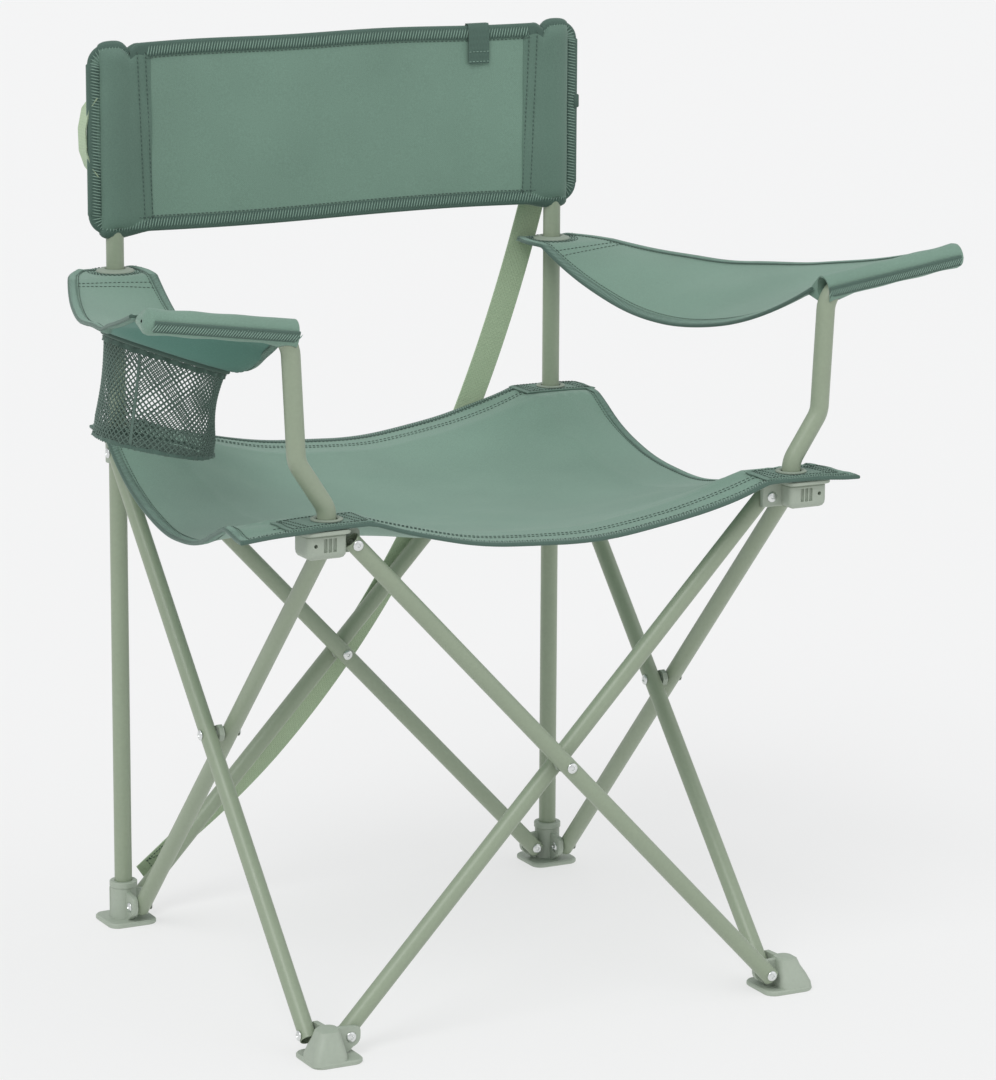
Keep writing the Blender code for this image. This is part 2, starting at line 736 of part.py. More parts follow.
def left_armrest():
    """The armrest with the hole for the cup holder."""
    frame = cup_frame()
    reach = Vector((0, 0, CUP_RING_R))
    hole = cylinder("hole", around(CUP_RING_R), frame @ -reach, frame @ reach)
    return finish(combine(armrest("left_armrest", -1), hole, "DIFFERENCE"), CLOTH)


def backrest():
    """The backrest: cloth between two pockets, which are open below and closed above the uprights."""
    inner = UPRIGHT_R + POCKET_CLEARANCE
    outer = inner + POCKET_WALL
    middle = CORNER - POCKET_CLEARANCE - POCKET_WALL
    item = box(
        "backrest",
        (-CORNER, middle - BACK_CLOTH, BACK_BOTTOM),
        (CORNER, middle, BACK_TOP),
    )
    for side_x in (-1, 1):
        x = side_x * CORNER
        item = combine(
            item, cylinder("pocket", outer, (x, CORNER, BACK_BOTTOM), (x, CORNER, BACK_TOP)), "UNION"
        )
        bore = cylinder(
            "bore", inner, (x, CORNER, BACK_BOTTOM - FIN), (x, CORNER, BACK_TOP - POCKET_ROOF)
        )
        item = combine(item, bore, "DIFFERENCE")
    return finish(item, CLOTH)


def carry_strap():
    """The webbing strap that closes around the folded chair, loose behind the open one."""
    back = CORNER + TUBE_OFFSET + TUBE_R + GAP + RIVET_HEAD + STRAP_CLEARANCE
    start = Vector((-PIVOT + STRAP_WIDTH / 2, STRAP_LOW_Z))
    end = Vector((CORNER - STRAP_CLEARANCE, STRAP_HIGH_Z))
    low, high = start + Vector(STRAP_LOW_HANDLE), end - Vector(STRAP_HIGH_HANDLE)

    def place(u, v):
        share = (v + 1) / 2
        first, second, third = start.lerp(low, share), low.lerp(high, share), high.lerp(end, share)
        before, after = first.lerp(second, share), second.lerp(third, share)
        along = (after - before).normalized()
        edge = before.lerp(after, share) + Vector((-along.y, along.x)) * u * STRAP_WIDTH / 2
        return edge.x, back, edge.y

    return finish(sheet("carry_strap", 1, 14, place, STRAP_THICK), WEBBING)


# --- The chair -------------------------------------------------------------------------------------------
def frame_pieces():
    """The tubes and plastic of the folding frame."""
    for side_x, hand in ((-1, "left"), (1, "right")):
        foot(f"rear_{hand}_foot", side_x, 1)
        foot(f"front_{hand}_foot", side_x, -1)
        upright(f"rear_{hand}_upright", side_x)
        upright_cap(f"rear_{hand}_upright_cap", side_x)
        arm_tube(f"{hand}_arm_tube", side_x)
        front_bracket(f"front_{hand}_bracket", side_x)
        rear_sleeve(f"rear_{hand}_sleeve", side_x)


def scissors():
    """Each side's two crossed tubes with their rivets. Side -1 of an axis is the tube nearer -Y or -X."""
    across, deep = Vector((0, 1, 0)), Vector((1, 0, 0))
    for name, axis, plane in (
        ("front", across, -CORNER),
        ("rear", across, CORNER),
        ("left", deep, -CORNER),
        ("right", deep, CORNER),
    ):
        ends = [
            Vector((s * PIVOT, plane, 0)) if axis is across else Vector((plane, -s * PIVOT, 0))
            for s in (-1, 1)
        ]
        low, high = Vector((0, 0, FOOT_PIVOT_Z)), Vector((0, 0, SEAT_PIVOT_Z))
        for end, other, side, kind in ((0, 1, 1, "inner"), (1, 0, -1, "outer")):
            if name in ("rear", "right"):
                kind = "inner" if kind == "outer" else "outer"
            crossed_tube(f"{name}_{kind}_tube", ends[end] + low, ends[other] + high, axis, side)
            end_rivet(f"{name}_{kind}_foot_rivet", ends[end] + low, axis, side)
            end_rivet(f"{name}_{kind}_top_rivet", ends[other] + high, axis, side)
        crossing(name, (ends[0] + ends[1] + low + high) / 2, axis)


def soft_pieces():
    """The seat, the armrests with the cup holder, the backrest and the strap."""
    seat_panel()
    seat_binding("seat_front_binding", -1)
    seat_binding("seat_rear_binding", 1)
    seat_side_binding("seat_left_binding", -1)
    seat_side_binding("seat_right_binding", 1)
    left_armrest()
    finish(armrest("right_armrest", 1), CLOTH)
    armrest_ring("left_armrest_ring", -1)
    armrest_ring("right_armrest_ring", 1)
    cup_holder()
    backrest()
    carry_strap()


def joints():
    """An empty on each joint's axis, with the pieces that move about it."""
    near, far = -PIVOT, PIVOT
    middle = (FOOT_PIVOT_Z + SEAT_PIVOT_Z) / 2
    low, high = FOOT_PIVOT_Z, SEAT_PIVOT_Z
    corners = (
        ("rear_left_sleeve", (near, CORNER, high), [], ("rear_inner_top", "left_outer_top")),
        (
            "rear_right_foot",
            (far, CORNER, low),
            ["rear_right_upright", "rear_right_upright_cap"],
            ("rear_inner_foot", "right_outer_foot"),
        ),
        ("rear_right_sleeve", (far, CORNER, high), [], ("rear_outer_top", "right_inner_top")),
        ("front_left_foot", (-CORNER, near, low), [], ("left_outer_foot", "front_inner_foot")),
        (
            "front_left_bracket",
            (-CORNER, near, high),
            ["left_arm_tube"],
            ("left_inner_top", "front_outer_top"),
        ),
        ("front_right_foot", (far, -CORNER, low), [], ("front_outer_foot", "right_inner_foot")),
        (
            "front_right_bracket",
            (far, -CORNER, high),
            ["right_arm_tube"],
            ("front_inner_top", "right_outer_top"),
        ),
    )
    for name, position, others, rivets in corners:
        hang(f"{name}_pivot", position, [name, *others, *(f"{rivet}_rivet" for rivet in rivets)])
    for name, x, y in (("front", 0, -1), ("rear", 0, 1), ("left", -1, 0), ("right", 1, 0)):
        pieces = [f"{name}_crossing_rivet", f"{name}_crossing_spacer"]
        hang(f"{name}_crossing_pivot", (x * CORNER, y * CORNER, middle), pieces)
        hang(f"seat_{name}_edge", (x * CORNER, y * CORNER, SEAT_Z), [f"seat_{name}_binding"])
    hang("left_arm_bar", (-CORNER, -CORNER, ARM_BAR_Z), ["left_armrest", "cup_ring", "cup_net"])
    hang("right_arm_bar", (CORNER, -CORNER, ARM_BAR_Z), ["right_armrest"])


clear_scene()
PARTS = collection("camping_armchair")
PAINT = material("painted_tube", (0.36, 0.43, 0.35), 0.45)
PLASTIC = material("plastic", (0.37, 0.44, 0.36), 0.5)
ZINC = material("zinc", (0.62, 0.63, 0.61), 0.35, 1.0)
CLOTH = material("cloth", (0.16, 0.30, 0.24), 0.8)
TAPE = material("edge_tape", (0.07, 0.17, 0.13), 0.85)
NET = material("net", (0.06, 0.13, 0.11), 0.7)
WEBBING = material("webbing", (0.38, 0.50, 0.40), 0.8)

frame_pieces()
scissors()
soft_pieces()
joints()
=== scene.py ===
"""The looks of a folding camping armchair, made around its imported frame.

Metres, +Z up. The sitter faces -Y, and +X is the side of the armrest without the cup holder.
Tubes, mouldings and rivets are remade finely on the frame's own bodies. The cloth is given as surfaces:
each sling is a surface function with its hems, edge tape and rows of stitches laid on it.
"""

from __future__ import annotations

import json
import logging
import math
from dataclasses import dataclass, field
from enum import Enum
from typing import Any, Callable, Iterable, Sequence

import bmesh
import bpy
from mathutils import Matrix, Vector, noise

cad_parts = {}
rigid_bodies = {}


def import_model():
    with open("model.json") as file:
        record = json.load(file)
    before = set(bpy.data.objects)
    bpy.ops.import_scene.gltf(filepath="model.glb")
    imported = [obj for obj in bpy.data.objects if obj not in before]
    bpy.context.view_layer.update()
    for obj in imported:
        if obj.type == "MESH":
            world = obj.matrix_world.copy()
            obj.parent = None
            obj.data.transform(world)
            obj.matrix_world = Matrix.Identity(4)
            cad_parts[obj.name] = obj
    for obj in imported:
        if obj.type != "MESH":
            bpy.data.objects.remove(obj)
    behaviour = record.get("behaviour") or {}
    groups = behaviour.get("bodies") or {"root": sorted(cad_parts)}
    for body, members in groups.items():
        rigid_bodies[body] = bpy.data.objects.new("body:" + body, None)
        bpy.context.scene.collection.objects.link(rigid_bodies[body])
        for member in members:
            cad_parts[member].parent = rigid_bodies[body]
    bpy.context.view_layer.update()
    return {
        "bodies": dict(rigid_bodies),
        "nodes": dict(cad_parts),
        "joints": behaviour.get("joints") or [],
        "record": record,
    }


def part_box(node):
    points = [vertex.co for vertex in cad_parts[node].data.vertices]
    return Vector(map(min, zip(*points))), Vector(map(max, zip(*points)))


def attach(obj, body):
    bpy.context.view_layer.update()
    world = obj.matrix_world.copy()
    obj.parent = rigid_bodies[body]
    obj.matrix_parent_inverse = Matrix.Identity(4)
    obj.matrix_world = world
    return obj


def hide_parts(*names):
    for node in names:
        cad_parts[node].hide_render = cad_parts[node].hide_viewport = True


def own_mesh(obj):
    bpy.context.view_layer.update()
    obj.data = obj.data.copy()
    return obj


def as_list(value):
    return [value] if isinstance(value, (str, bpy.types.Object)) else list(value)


LOG = logging.getLogger("armchair")
Surface = Callable[[float, float], Vector]
Rings = list[list[Vector]]
Shape = tuple[list[Vector], list[tuple[int, ...]]]
Run = list[tuple[Vector, Vector]]
EdgeRow = tuple[Vector, Vector, Vector]

LIFT = 0.0003  # thread above the cloth it lies on
SIDES = (("left", -1), ("right", 1))
EDGES = ("front", "rear", "left", "right")
FLOAT, VECTOR, COLOUR = "NodeSocketFloat", "NodeSocketVector", "NodeSocketColor"


# --- Meshes ---------------------------------------------------------------------------------------
def new_piece(
    name: str,
    verts: Sequence[Vector],
    faces: Sequence[Sequence[int]],
    surface: bpy.types.Material,
    uvs: Sequence[tuple[float, float]] | None = None,
    crease: float = 40.0,
) -> bpy.types.Object:
    """Make a closed mesh object whose faces point out.

    Args:
        name: The piece's name.
        verts: Its points.
        faces: Its faces, as indices.
        surface: Its material.
        uvs: A cloth position in metres for each point, for the weave.
        crease: The angle in degrees past which an edge looks sharp.

    Returns:
        The new object, at the origin.
    """
    mesh = bpy.data.meshes.new(name)
    mesh.from_pydata([tuple(v) for v in verts], [], [tuple(f) for f in faces])
    if uvs is not None:
        layer = mesh.uv_layers.new(name="cloth")
        for loop in mesh.loops:
            layer.data[loop.index].uv = uvs[loop.vertex_index]
    tidy = bmesh.new()
    tidy.from_mesh(mesh)
    bmesh.ops.remove_doubles(tidy, verts=tidy.verts, dist=1e-6)
    bmesh.ops.dissolve_degenerate(tidy, edges=tidy.edges, dist=1e-7)
    bmesh.ops.recalc_face_normals(tidy, faces=tidy.faces)
    tidy.to_mesh(mesh)
    tidy.free()
    mesh.shade_smooth()
    mesh.set_sharp_from_angle(angle=math.radians(crease))
    mesh.materials.append(surface)
    return placed(name, mesh)


def placed(name: str, data: Any) -> bpy.types.Object:
    """Put a mesh, light or camera into the scene as an object."""
    made = bpy.data.objects.new(name, data)
    bpy.context.scene.collection.objects.link(made)
    return made


def plain_copy(item: bpy.types.Object) -> bpy.types.Mesh:
    """An object's mesh with its modifiers worked in."""
    bpy.context.view_layer.update()
    return bpy.data.meshes.new_from_object(item.evaluated_get(bpy.context.evaluated_depsgraph_get()))


def skin(rings: Rings, loop: bool = False) -> Shape:
    """Join a row of equal rings into one surface.

    Args:
        rings: The rings, each a closed list of points.
        loop: Whether the last ring joins the first. If not, both ends are capped.

    Returns:
        The points and faces.
    """
    count = len(rings[0])
    verts = [point for ring in rings for point in ring]
    faces: list[tuple[int, ...]] = []
    for index in range(len(rings) if loop else len(rings) - 1):
        near, far = index * count, (index + 1) % len(rings) * count
        for side in range(count):
            after = (side + 1) % count
            faces.append((near + side, near + after, far + after, far + side))
    if not loop:
        faces.append(tuple(reversed(range(count))))
        faces.append(tuple(range((len(rings) - 1) * count, len(rings) * count)))
    return verts, faces


def frames_along(path: Sequence[Vector]) -> list[tuple[Vector, Vector, Vector]]:
    """For each point of a path its tangent and two directions across it, which turn as little as they can."""
    made = []
    side = (path[1] - path[0]).normalized().orthogonal()
    for index, point in enumerate(path):
        before = point - path[index - 1] if index else path[1] - path[0]
        after = path[index + 1] - point if index + 1 < len(path) else before
        along = (before.normalized() + after.normalized()).normalized()
        side = (side - along * side.dot(along)).normalized()
        made.append((along, side, along.cross(side)))
    return made


def round_bar(
    path: Sequence[Vector], radius: float, wall: float = 0.0, sides: int = 28, lip: float = 0.0004
) -> Shape:
    """A round tube along a path, open at its ends, or a solid bar.

    Args:
        path: The points of its axis.
        radius: Its outer radius.
        wall: Its wall, or 0 for a solid bar.
        sides: How many sides it has.
        lip: The rounding of its ends.

    Returns:
        The points and faces.
    """
    axes = frames_along(path)
    last = len(path) - 1
    stations = [(0, 0.0, radius - lip), (0, lip, radius)]
    stations += [(index, 0.0, radius) for index in range(1, last)]
    stations += [(last, -lip, radius), (last, 0.0, radius - lip)]
    if wall:
        inner = radius - wall
        stations += [(last, -lip, inner)]
        stations += [(index, 0.0, inner) for index in range(last - 1, 0, -1)]
        stations += [(0, lip, inner)]
    rings = []
    for index, shift, ring_radius in stations:
        along, side, up = axes[index]
        centre = path[index] + along * shift
        rings.append([centre + (side * c + up * s) * ring_radius for c, s in circle(sides)])
    return skin(rings, loop=bool(wall))


def circle(sides: int) -> list[tuple[float, float]]:
    """The cosine and sine of evenly spaced angles."""
    return [(math.cos(math.tau * k / sides), math.sin(math.tau * k / sides)) for k in range(sides)]


def turned(profile: Sequence[tuple[float, float]], place: Matrix, sides: int = 32) -> Shape:
    """A shape turned about local Z from a closed profile.

    Args:
        profile: Pairs of radius and height, which the last point joins to the first.
        place: Where local space goes.
        sides: How many sides it has.

    Returns:
        The points and faces.
    """
    rings = [[place @ Vector((r * c, r * s, z)) for c, s in circle(sides)] for r, z in profile]
    return skin(rings, loop=True)


def arc(centre: Vector, radius: float, first: float, last: float, steps: int) -> list[Vector]:
    """Points of an arc in the plane, angles in degrees."""
    angles = [math.radians(first + (last - first) * step / steps) for step in range(steps + 1)]
    return [centre + Vector((math.cos(a), math.sin(a))) * radius for a in angles]


def rounded(corners: Sequence[Vector], radius: float, steps: int = 8) -> list[Vector]:
    """A path through points of the plane, with each inner corner rounded.

    Args:
        corners: The path's points, in 2-D.
        radius: The radius at every corner.
        steps: How many segments each corner has.

    Returns:
        The rounded path.
    """
    path = [corners[0]]
    for before, corner, after in zip(corners, corners[1:], corners[2:]):
        back, ahead = (before - corner).normalized(), (after - corner).normalized()
        half = back.angle(ahead) / 2
        middle = corner + (back + ahead).normalized() * (radius / math.sin(half))
        start = corner + back * (radius / math.tan(half)) - middle
        swing = start.angle_signed(corner + ahead * (radius / math.tan(half)) - middle)
        path += [middle + Matrix.Rotation(-swing * step / steps, 2) @ start for step in range(steps + 1)]
    return [*path, corners[-1]]


def spread(path: Sequence[Vector], step: float) -> list[Vector]:
    """Points along a path with about this step between them."""
    made = [path[0]]
    for near, far in zip(path, path[1:]):
        count = max(1, round((far - near).length / step))
        made += [near.lerp(far, k / count) for k in range(1, count + 1)]
    return made


def normal_of(surface: Surface, u: float, v: float, step: float = 1e-3) -> Vector:
    """The direction square to a surface at (u, v)."""
    across = surface(u + step, v) - surface(u - step, v)
    along = surface(u, v + step) - surface(u, v - step)
    return across.cross(along).normalized()


def upward(surface: Surface, u: float, v: float) -> Vector:
    """A cloth's own normal, taken just inside its edges."""
    return normal_of(surface, min(max(u, 0.002), 0.998), min(max(v, 0.002), 0.998))


def cloth_shell(
    surface: Surface, columns: int, rows: int, thickness: float, flat: tuple[float, float]
) -> tuple[list[Vector], list[tuple[int, ...]], list[tuple[float, float]]]:
    """Cloth of even thickness over a surface whose u and v run from 0 to 1.

    Args:
        surface: Where the middle of the cloth lies.
        columns: Cells across.
        rows: Cells along.
        thickness: The cloth's thickness.
        flat: Its flat width and length, which place its weave.

    Returns:
        The points, faces and cloth positions.
    """
    rings, uvs = [], []
    for row in range(rows + 1):
        v = row / rows
        upper, lower, flats = [], [], []
        for column in range(columns + 1):
            u = column / columns
            point, half = surface(u, v), upward(surface, u, v) * (thickness / 2)
            upper.append(point + half)
            lower.append(point - half)
            flats.append((u * flat[0], v * flat[1]))
        rings.append(upper + lower[::-1])
        uvs += flats + flats[::-1]
    verts, faces = skin(rings)
    faces = faces[:-2]
    width = 2 * (columns + 1)
    for base in (0, rows * width):
        for near in range(base, base + columns):
            far = 2 * base + width - 1 - near
            faces.append((near, near + 1, far - 1, far))
    return verts, faces, uvs


def line_underside(item: bpy.types.Object, lining: bpy.types.Material) -> None:
    """Give a piece's downward faces the lining's finish."""
    item.data.materials.append(lining)
    for face in item.data.polygons:
        if face.normal.z < -0.25:
            face.material_index = 1


class Join(Enum):
    """How a second shape changes a first one."""

    ADD = "UNION"
    CUT = "DIFFERENCE"


def cut(item: bpy.types.Object, shape: Shape, how: Join = Join.CUT) -> None:
    """Cut a closed shape out of a piece, or add it.

    Args:
        item: The piece.
        shape: The other shape's points and faces.
        how: Whether it is cut out or added.
    """
    tool = new_piece("tool", *shape, item.data.materials[0])
    boolean = item.modifiers.new("Cut", "BOOLEAN")
    boolean.operation = how.value
    boolean.object = tool
    mesh = plain_copy(item)
    item.modifiers.clear()
    item.data = mesh
    bpy.data.objects.remove(tool, do_unlink=True)


def soften(item: bpy.types.Object) -> None:
    """Shade a moulding smooth up to its real edges."""
    item.data.shade_smooth()
    item.data.set_sharp_from_angle(angle=math.radians(35))


def drill(x: float, y: float, z: float, radius: float, reach: float = 0.02, sides: int = 32) -> Shape:
    """An upright cutter for a round hole at a point."""
    profile = [(0, reach), (radius, reach), (radius, -reach), (0, -reach)]
    return turned(profile, Matrix.Translation((x, y, z)), sides)


# --- Shader graphs --------------------------------------------------------------------------------
class Graph:
    """Adds and joins the nodes of one tree."""

    def __init__(self, tree: bpy.types.NodeTree) -> None:
        """Start on a tree."""
        self.tree = tree

    def add(self, kind: str, inputs: dict[Any, Any] | None = None, **settings: Any) -> bpy.types.Node:
        """Add a node.

        Args:
            kind: Its type name.
            inputs: Values or sockets for its inputs, by name or index.
            **settings: Its properties.

        Returns:
            The node.
        """
        made = self.tree.nodes.new(kind)
        for key, value in settings.items():
            setattr(made, key, value)
        self.fill(made, inputs or {})
        return made

    def fill(self, node: bpy.types.Node, inputs: dict[Any, Any]) -> None:
        """Give a node's inputs their values, or link them to sockets."""
        for key, value in inputs.items():
            if isinstance(value, bpy.types.NodeSocket):
                self.tree.links.new(value, node.inputs[key])
            else:
                node.inputs[key].default_value = value

    def math(self, operation: str, *values: Any) -> bpy.types.NodeSocket:
        """A Math node's result."""
        return self.add("ShaderNodeMath", dict(enumerate(values)), operation=operation).outputs[0]

    def scale(self, vector: Any, share: Any) -> bpy.types.NodeSocket:
        """A vector times a number."""
        return self.add("ShaderNodeVectorMath", {0: vector, "Scale": share}, operation="SCALE").outputs[0]

    def noise(self, place: Any, scale: Any, detail: float = 2.0) -> bpy.types.NodeSocket:
        """A noise texture's value."""
        inputs = {"Vector": place, "Scale": scale, "Detail": detail}
        return self.add("ShaderNodeTexNoise", inputs).outputs[0]

    def use(self, tree: bpy.types.NodeTree, inputs: dict[str, Any]) -> Any:
        """A node group's outputs."""
        return self.add("ShaderNodeGroup", inputs, node_tree=tree).outputs


def group(name: str, inputs: dict[str, tuple[str, Any]], outputs: dict[str, str]):
    """A shader node group with named sockets.

    Args:
        name: The group's name.
        inputs: Each input's socket type and default.
        outputs: Each output's socket type.

    Returns:
        The tree, its graph, its input sockets and its output node.
    """
    tree = bpy.data.node_groups.new(name, "ShaderNodeTree")
    for label, (kind, default) in inputs.items():
        socket = tree.interface.new_socket(label, in_out="INPUT", socket_type=kind)
        if default is not None:
            socket.default_value = default
    for label, kind in outputs.items():
        tree.interface.new_socket(label, in_out="OUTPUT", socket_type=kind)
    graph = Graph(tree)
    return tree, graph, graph.add("NodeGroupInput").outputs, graph.add("NodeGroupOutput")


class Effects:
    """The node groups that several finishes share."""

    def __init__(self) -> None:
        """Build every group once."""
        self.weave = self._weave()
        self.tone = self._tone()
        self.grain = self._grain()

    @staticmethod
    def _weave() -> bpy.types.NodeTree:
        """Plain weave: threads that pass over and under each other, and a mask of the gaps between them where
        shade is painted.
        """
        inputs = {"Cloth": (VECTOR, None), "Threads": (FLOAT, 1200.0)}
        tree, graph, given, result = group("plain_weave", inputs, {"Height": FLOAT, "Gap Shade": FLOAT})
        split = graph.add("ShaderNodeSeparateXYZ", {0: graph.scale(given["Cloth"], given["Threads"])})
        turns = [graph.math("MULTIPLY", split.outputs[k], math.pi) for k in (0, 1)]
        across, along = (graph.math("SINE", turn) for turn in turns)
        over = graph.math("MULTIPLY", across, along)
        crown = graph.math("MAXIMUM", graph.math("ABSOLUTE", across), graph.math("ABSOLUTE", along))
        height = graph.math("ADD", graph.math("MULTIPLY", over, 0.25), graph.math("MULTIPLY", crown, 0.5))
        graph.fill(result, {"Height": height, "Gap Shade": graph.math("SUBTRACT", 1.0, crown)})
        return tree

    @staticmethod
    def _tone() -> bpy.types.NodeTree:
        """Slow changes of tone and fine mottling over a surface."""
        grey = (0.5, 0.5, 0.5, 1)
        inputs = {"Place": (VECTOR, None), "Colour": (COLOUR, grey)}
        inputs |= {"Broad": (FLOAT, 9.0), "Fine": (FLOAT, 700.0), "Amount": (FLOAT, 0.1)}
        tree, graph, given, result = group("tone", inputs, {"Colour": COLOUR})
        parts = []
        for scale, weight in (("Broad", 1.2), ("Fine", 1.7)):
            value = graph.noise(given["Place"], given[scale])
            parts.append(graph.math("MULTIPLY", graph.math("SUBTRACT", value, 0.5), weight))
        change = graph.math("MULTIPLY", graph.math("ADD", *parts), given["Amount"])
        graph.fill(result, {"Colour": graph.scale(given["Colour"], graph.math("ADD", 1.0, change))})
        return tree

    @staticmethod
    def _grain() -> bpy.types.NodeTree:
        """The fine unevenness of powder coat, moulded plastic or plating."""
        inputs = {"Place": (VECTOR, None), "Scale": (FLOAT, 900.0), "Low": (FLOAT, 0.4), "High": (FLOAT, 0.6)}
        tree, graph, given, result = group("grain", inputs, {"Height": FLOAT, "Roughness": FLOAT})
        smear = graph.noise(given["Place"], 40.0, 4.0)
        span = {"Value": smear, "To Min": given["Low"], "To Max": given["High"]}
        rough = graph.add("ShaderNodeMapRange", span).outputs[0]
        height = graph.noise(given["Place"], given["Scale"], 3.0)
        graph.fill(result, {"Height": height, "Roughness": rough})
        return tree


class Pattern(Enum):
    """Where a cloth's weave takes its direction from."""

    UV = "UV"
    OBJECT = "Object"


@dataclass(frozen=True)
class HardFinish:
    """Paint, plastic or plated steel.

    Attributes:
        name: The material's name.
        colour: Its base colour.
        roughness: The smoothest and roughest places.
        metallic: 1 for bare metal.
        grain: How many grains a metre.
        relief: The height of its unevenness.
        coat: The weight of a clear coat.
    """

    name: str
    colour: tuple[float, float, float]
    roughness: tuple[float, float]
    metallic: float = 0.0
    grain: float = 900.0
    relief: float = 0.00003
    coat: float = 0.0

    def build(self, effects: Effects) -> bpy.types.Material:
        """Make the material from the shared effects."""
        made = bpy.data.materials.new(self.name)
        made.use_nodes = True
        graph = Graph(made.node_tree)
        shader = made.node_tree.nodes["Principled BSDF"]
        place = graph.add("ShaderNodeTexCoord").outputs["Object"]
        colour = (*self.colour, 1)
        values = {"Place": place, "Colour": colour, "Broad": 14.0, "Fine": 300.0, "Amount": 0.07}
        tone = graph.use(effects.tone, values)
        low, high = self.roughness
        grain = graph.use(effects.grain, {"Place": place, "Scale": self.grain, "Low": low, "High": high})
        bump = graph.add("ShaderNodeBump", {"Height": grain["Height"], "Distance": self.relief})
        graph.fill(shader, {"Base Color": tone["Colour"], "Roughness": grain["Roughness"]})
        graph.fill(shader, {"Normal": bump.outputs[0], "Metallic": self.metallic})
        graph.fill(shader, {"Coat Weight": self.coat, "Coat Roughness": 0.3})
        return made


@dataclass(frozen=True)
class ClothFinish:
    """Woven, knitted or stitched stuff.

    Attributes:
        name: The material's name.
        colour: Its base colour.
        threads: Threads a metre, or 0 for none that show.
        relief: How deep the weave is.
        roughness: Its roughness.
        sheen: The weight of the soft glow at grazing angles.
        amount: How much its tone varies.
        pattern: What its weave follows.
    """

    name: str
    colour: tuple[float, float, float]
    threads: float = 1100.0
    relief: float = 0.00012
    roughness: float = 0.8
    sheen: float = 0.25
    amount: float = 0.16
    pattern: Pattern = Pattern.UV

    def build(self, effects: Effects) -> bpy.types.Material:
        """Make the material from the shared effects."""
        made = bpy.data.materials.new(self.name)
        made.use_nodes = True
        graph = Graph(made.node_tree)
        shader = made.node_tree.nodes["Principled BSDF"]
        place = graph.add("ShaderNodeTexCoord").outputs
        tone = graph.use(
            effects.tone,
            {"Place": place["Object"], "Colour": (*self.colour, 1), "Fine": 900.0, "Amount": self.amount},
        )
        weave = graph.use(effects.weave, {"Cloth": place[self.pattern.value], "Threads": self.threads})
        # Painted shade: the gaps between threads are mixed toward this darker colour.
        painted_gap_shade = tuple(channel * 0.72 for channel in self.colour)
        gap = graph.math("MULTIPLY", weave["Gap Shade"], 0.6)
        mixed = graph.add("ShaderNodeMix", {0: gap, 6: tone["Colour"], 7: (*painted_gap_shade, 1)}, data_type="RGBA")
        bump = graph.add("ShaderNodeBump", {"Height": weave["Height"], "Distance": self.relief})
        graph.fill(shader, {"Base Color": mixed.outputs[2], "Normal": bump.outputs[0]})
        graph.fill(shader, {"Roughness": self.roughness, "Sheen Weight": self.sheen})
        graph.fill(shader, {"Sheen Roughness": 0.45, "Sheen Tint": (0.85, 1.0, 0.92, 1)})
        return made


@dataclass
class Wardrobe:
    """Every finish of the chair, built once."""

    effects: Effects = field(default_factory=Effects)

    def __post_init__(self) -> None:
        """Build the materials."""
        thread = {"threads": 3000.0, "roughness": 0.7, "pattern": Pattern.OBJECT}
        finishes = {
            "paint": HardFinish("powder_coat", (0.275, 0.332, 0.236), (0.36, 0.5), coat=0.15),
            "plastic": HardFinish(
                "moulded_plastic", (0.36, 0.412, 0.34), (0.42, 0.58), grain=1400.0, relief=0.00002
            ),
            "eyelet": HardFinish("eyelet_plastic", (0.27, 0.325, 0.262), (0.42, 0.58), grain=1400.0),
            "zinc": HardFinish(
                "zinc_plate", (0.74, 0.76, 0.75), (0.22, 0.36), metallic=1.0, grain=1600.0, relief=0.00001
            ),
            "cloth": ClothFinish("sling_cloth", (0.18, 0.292, 0.229), amount=0.26),
            # The pockets' cloth: the sling cloth's colour made about a third darker.
            "doubled": ClothFinish("darker_pocket_cloth", (0.116, 0.198, 0.155), amount=0.26),
            "patch": ClothFinish("patch_cloth", (0.128, 0.216, 0.170), amount=0.26),
            "lining": ClothFinish("coated_lining", (0.10, 0.235, 0.19), relief=0.00006, sheen=0.15),
            "tape": ClothFinish("edge_tape", (0.070, 0.127, 0.101), threads=700.0, relief=0.0003),
            "thread": ClothFinish("thread", (0.225, 0.345, 0.283), **thread),
            "dark_thread": ClothFinish("dark_thread", (0.055, 0.10, 0.08), **thread),
            "net": ClothFinish("net_cord", (0.088, 0.142, 0.116), **(thread | {"threads": 2500.0})),
            "webbing": ClothFinish(
                "webbing", (0.41, 0.52, 0.345), threads=520.0, relief=0.0004, roughness=0.75
            ),
        }
        for name, finish in finishes.items():
            setattr(self, name, finish.build(self.effects))


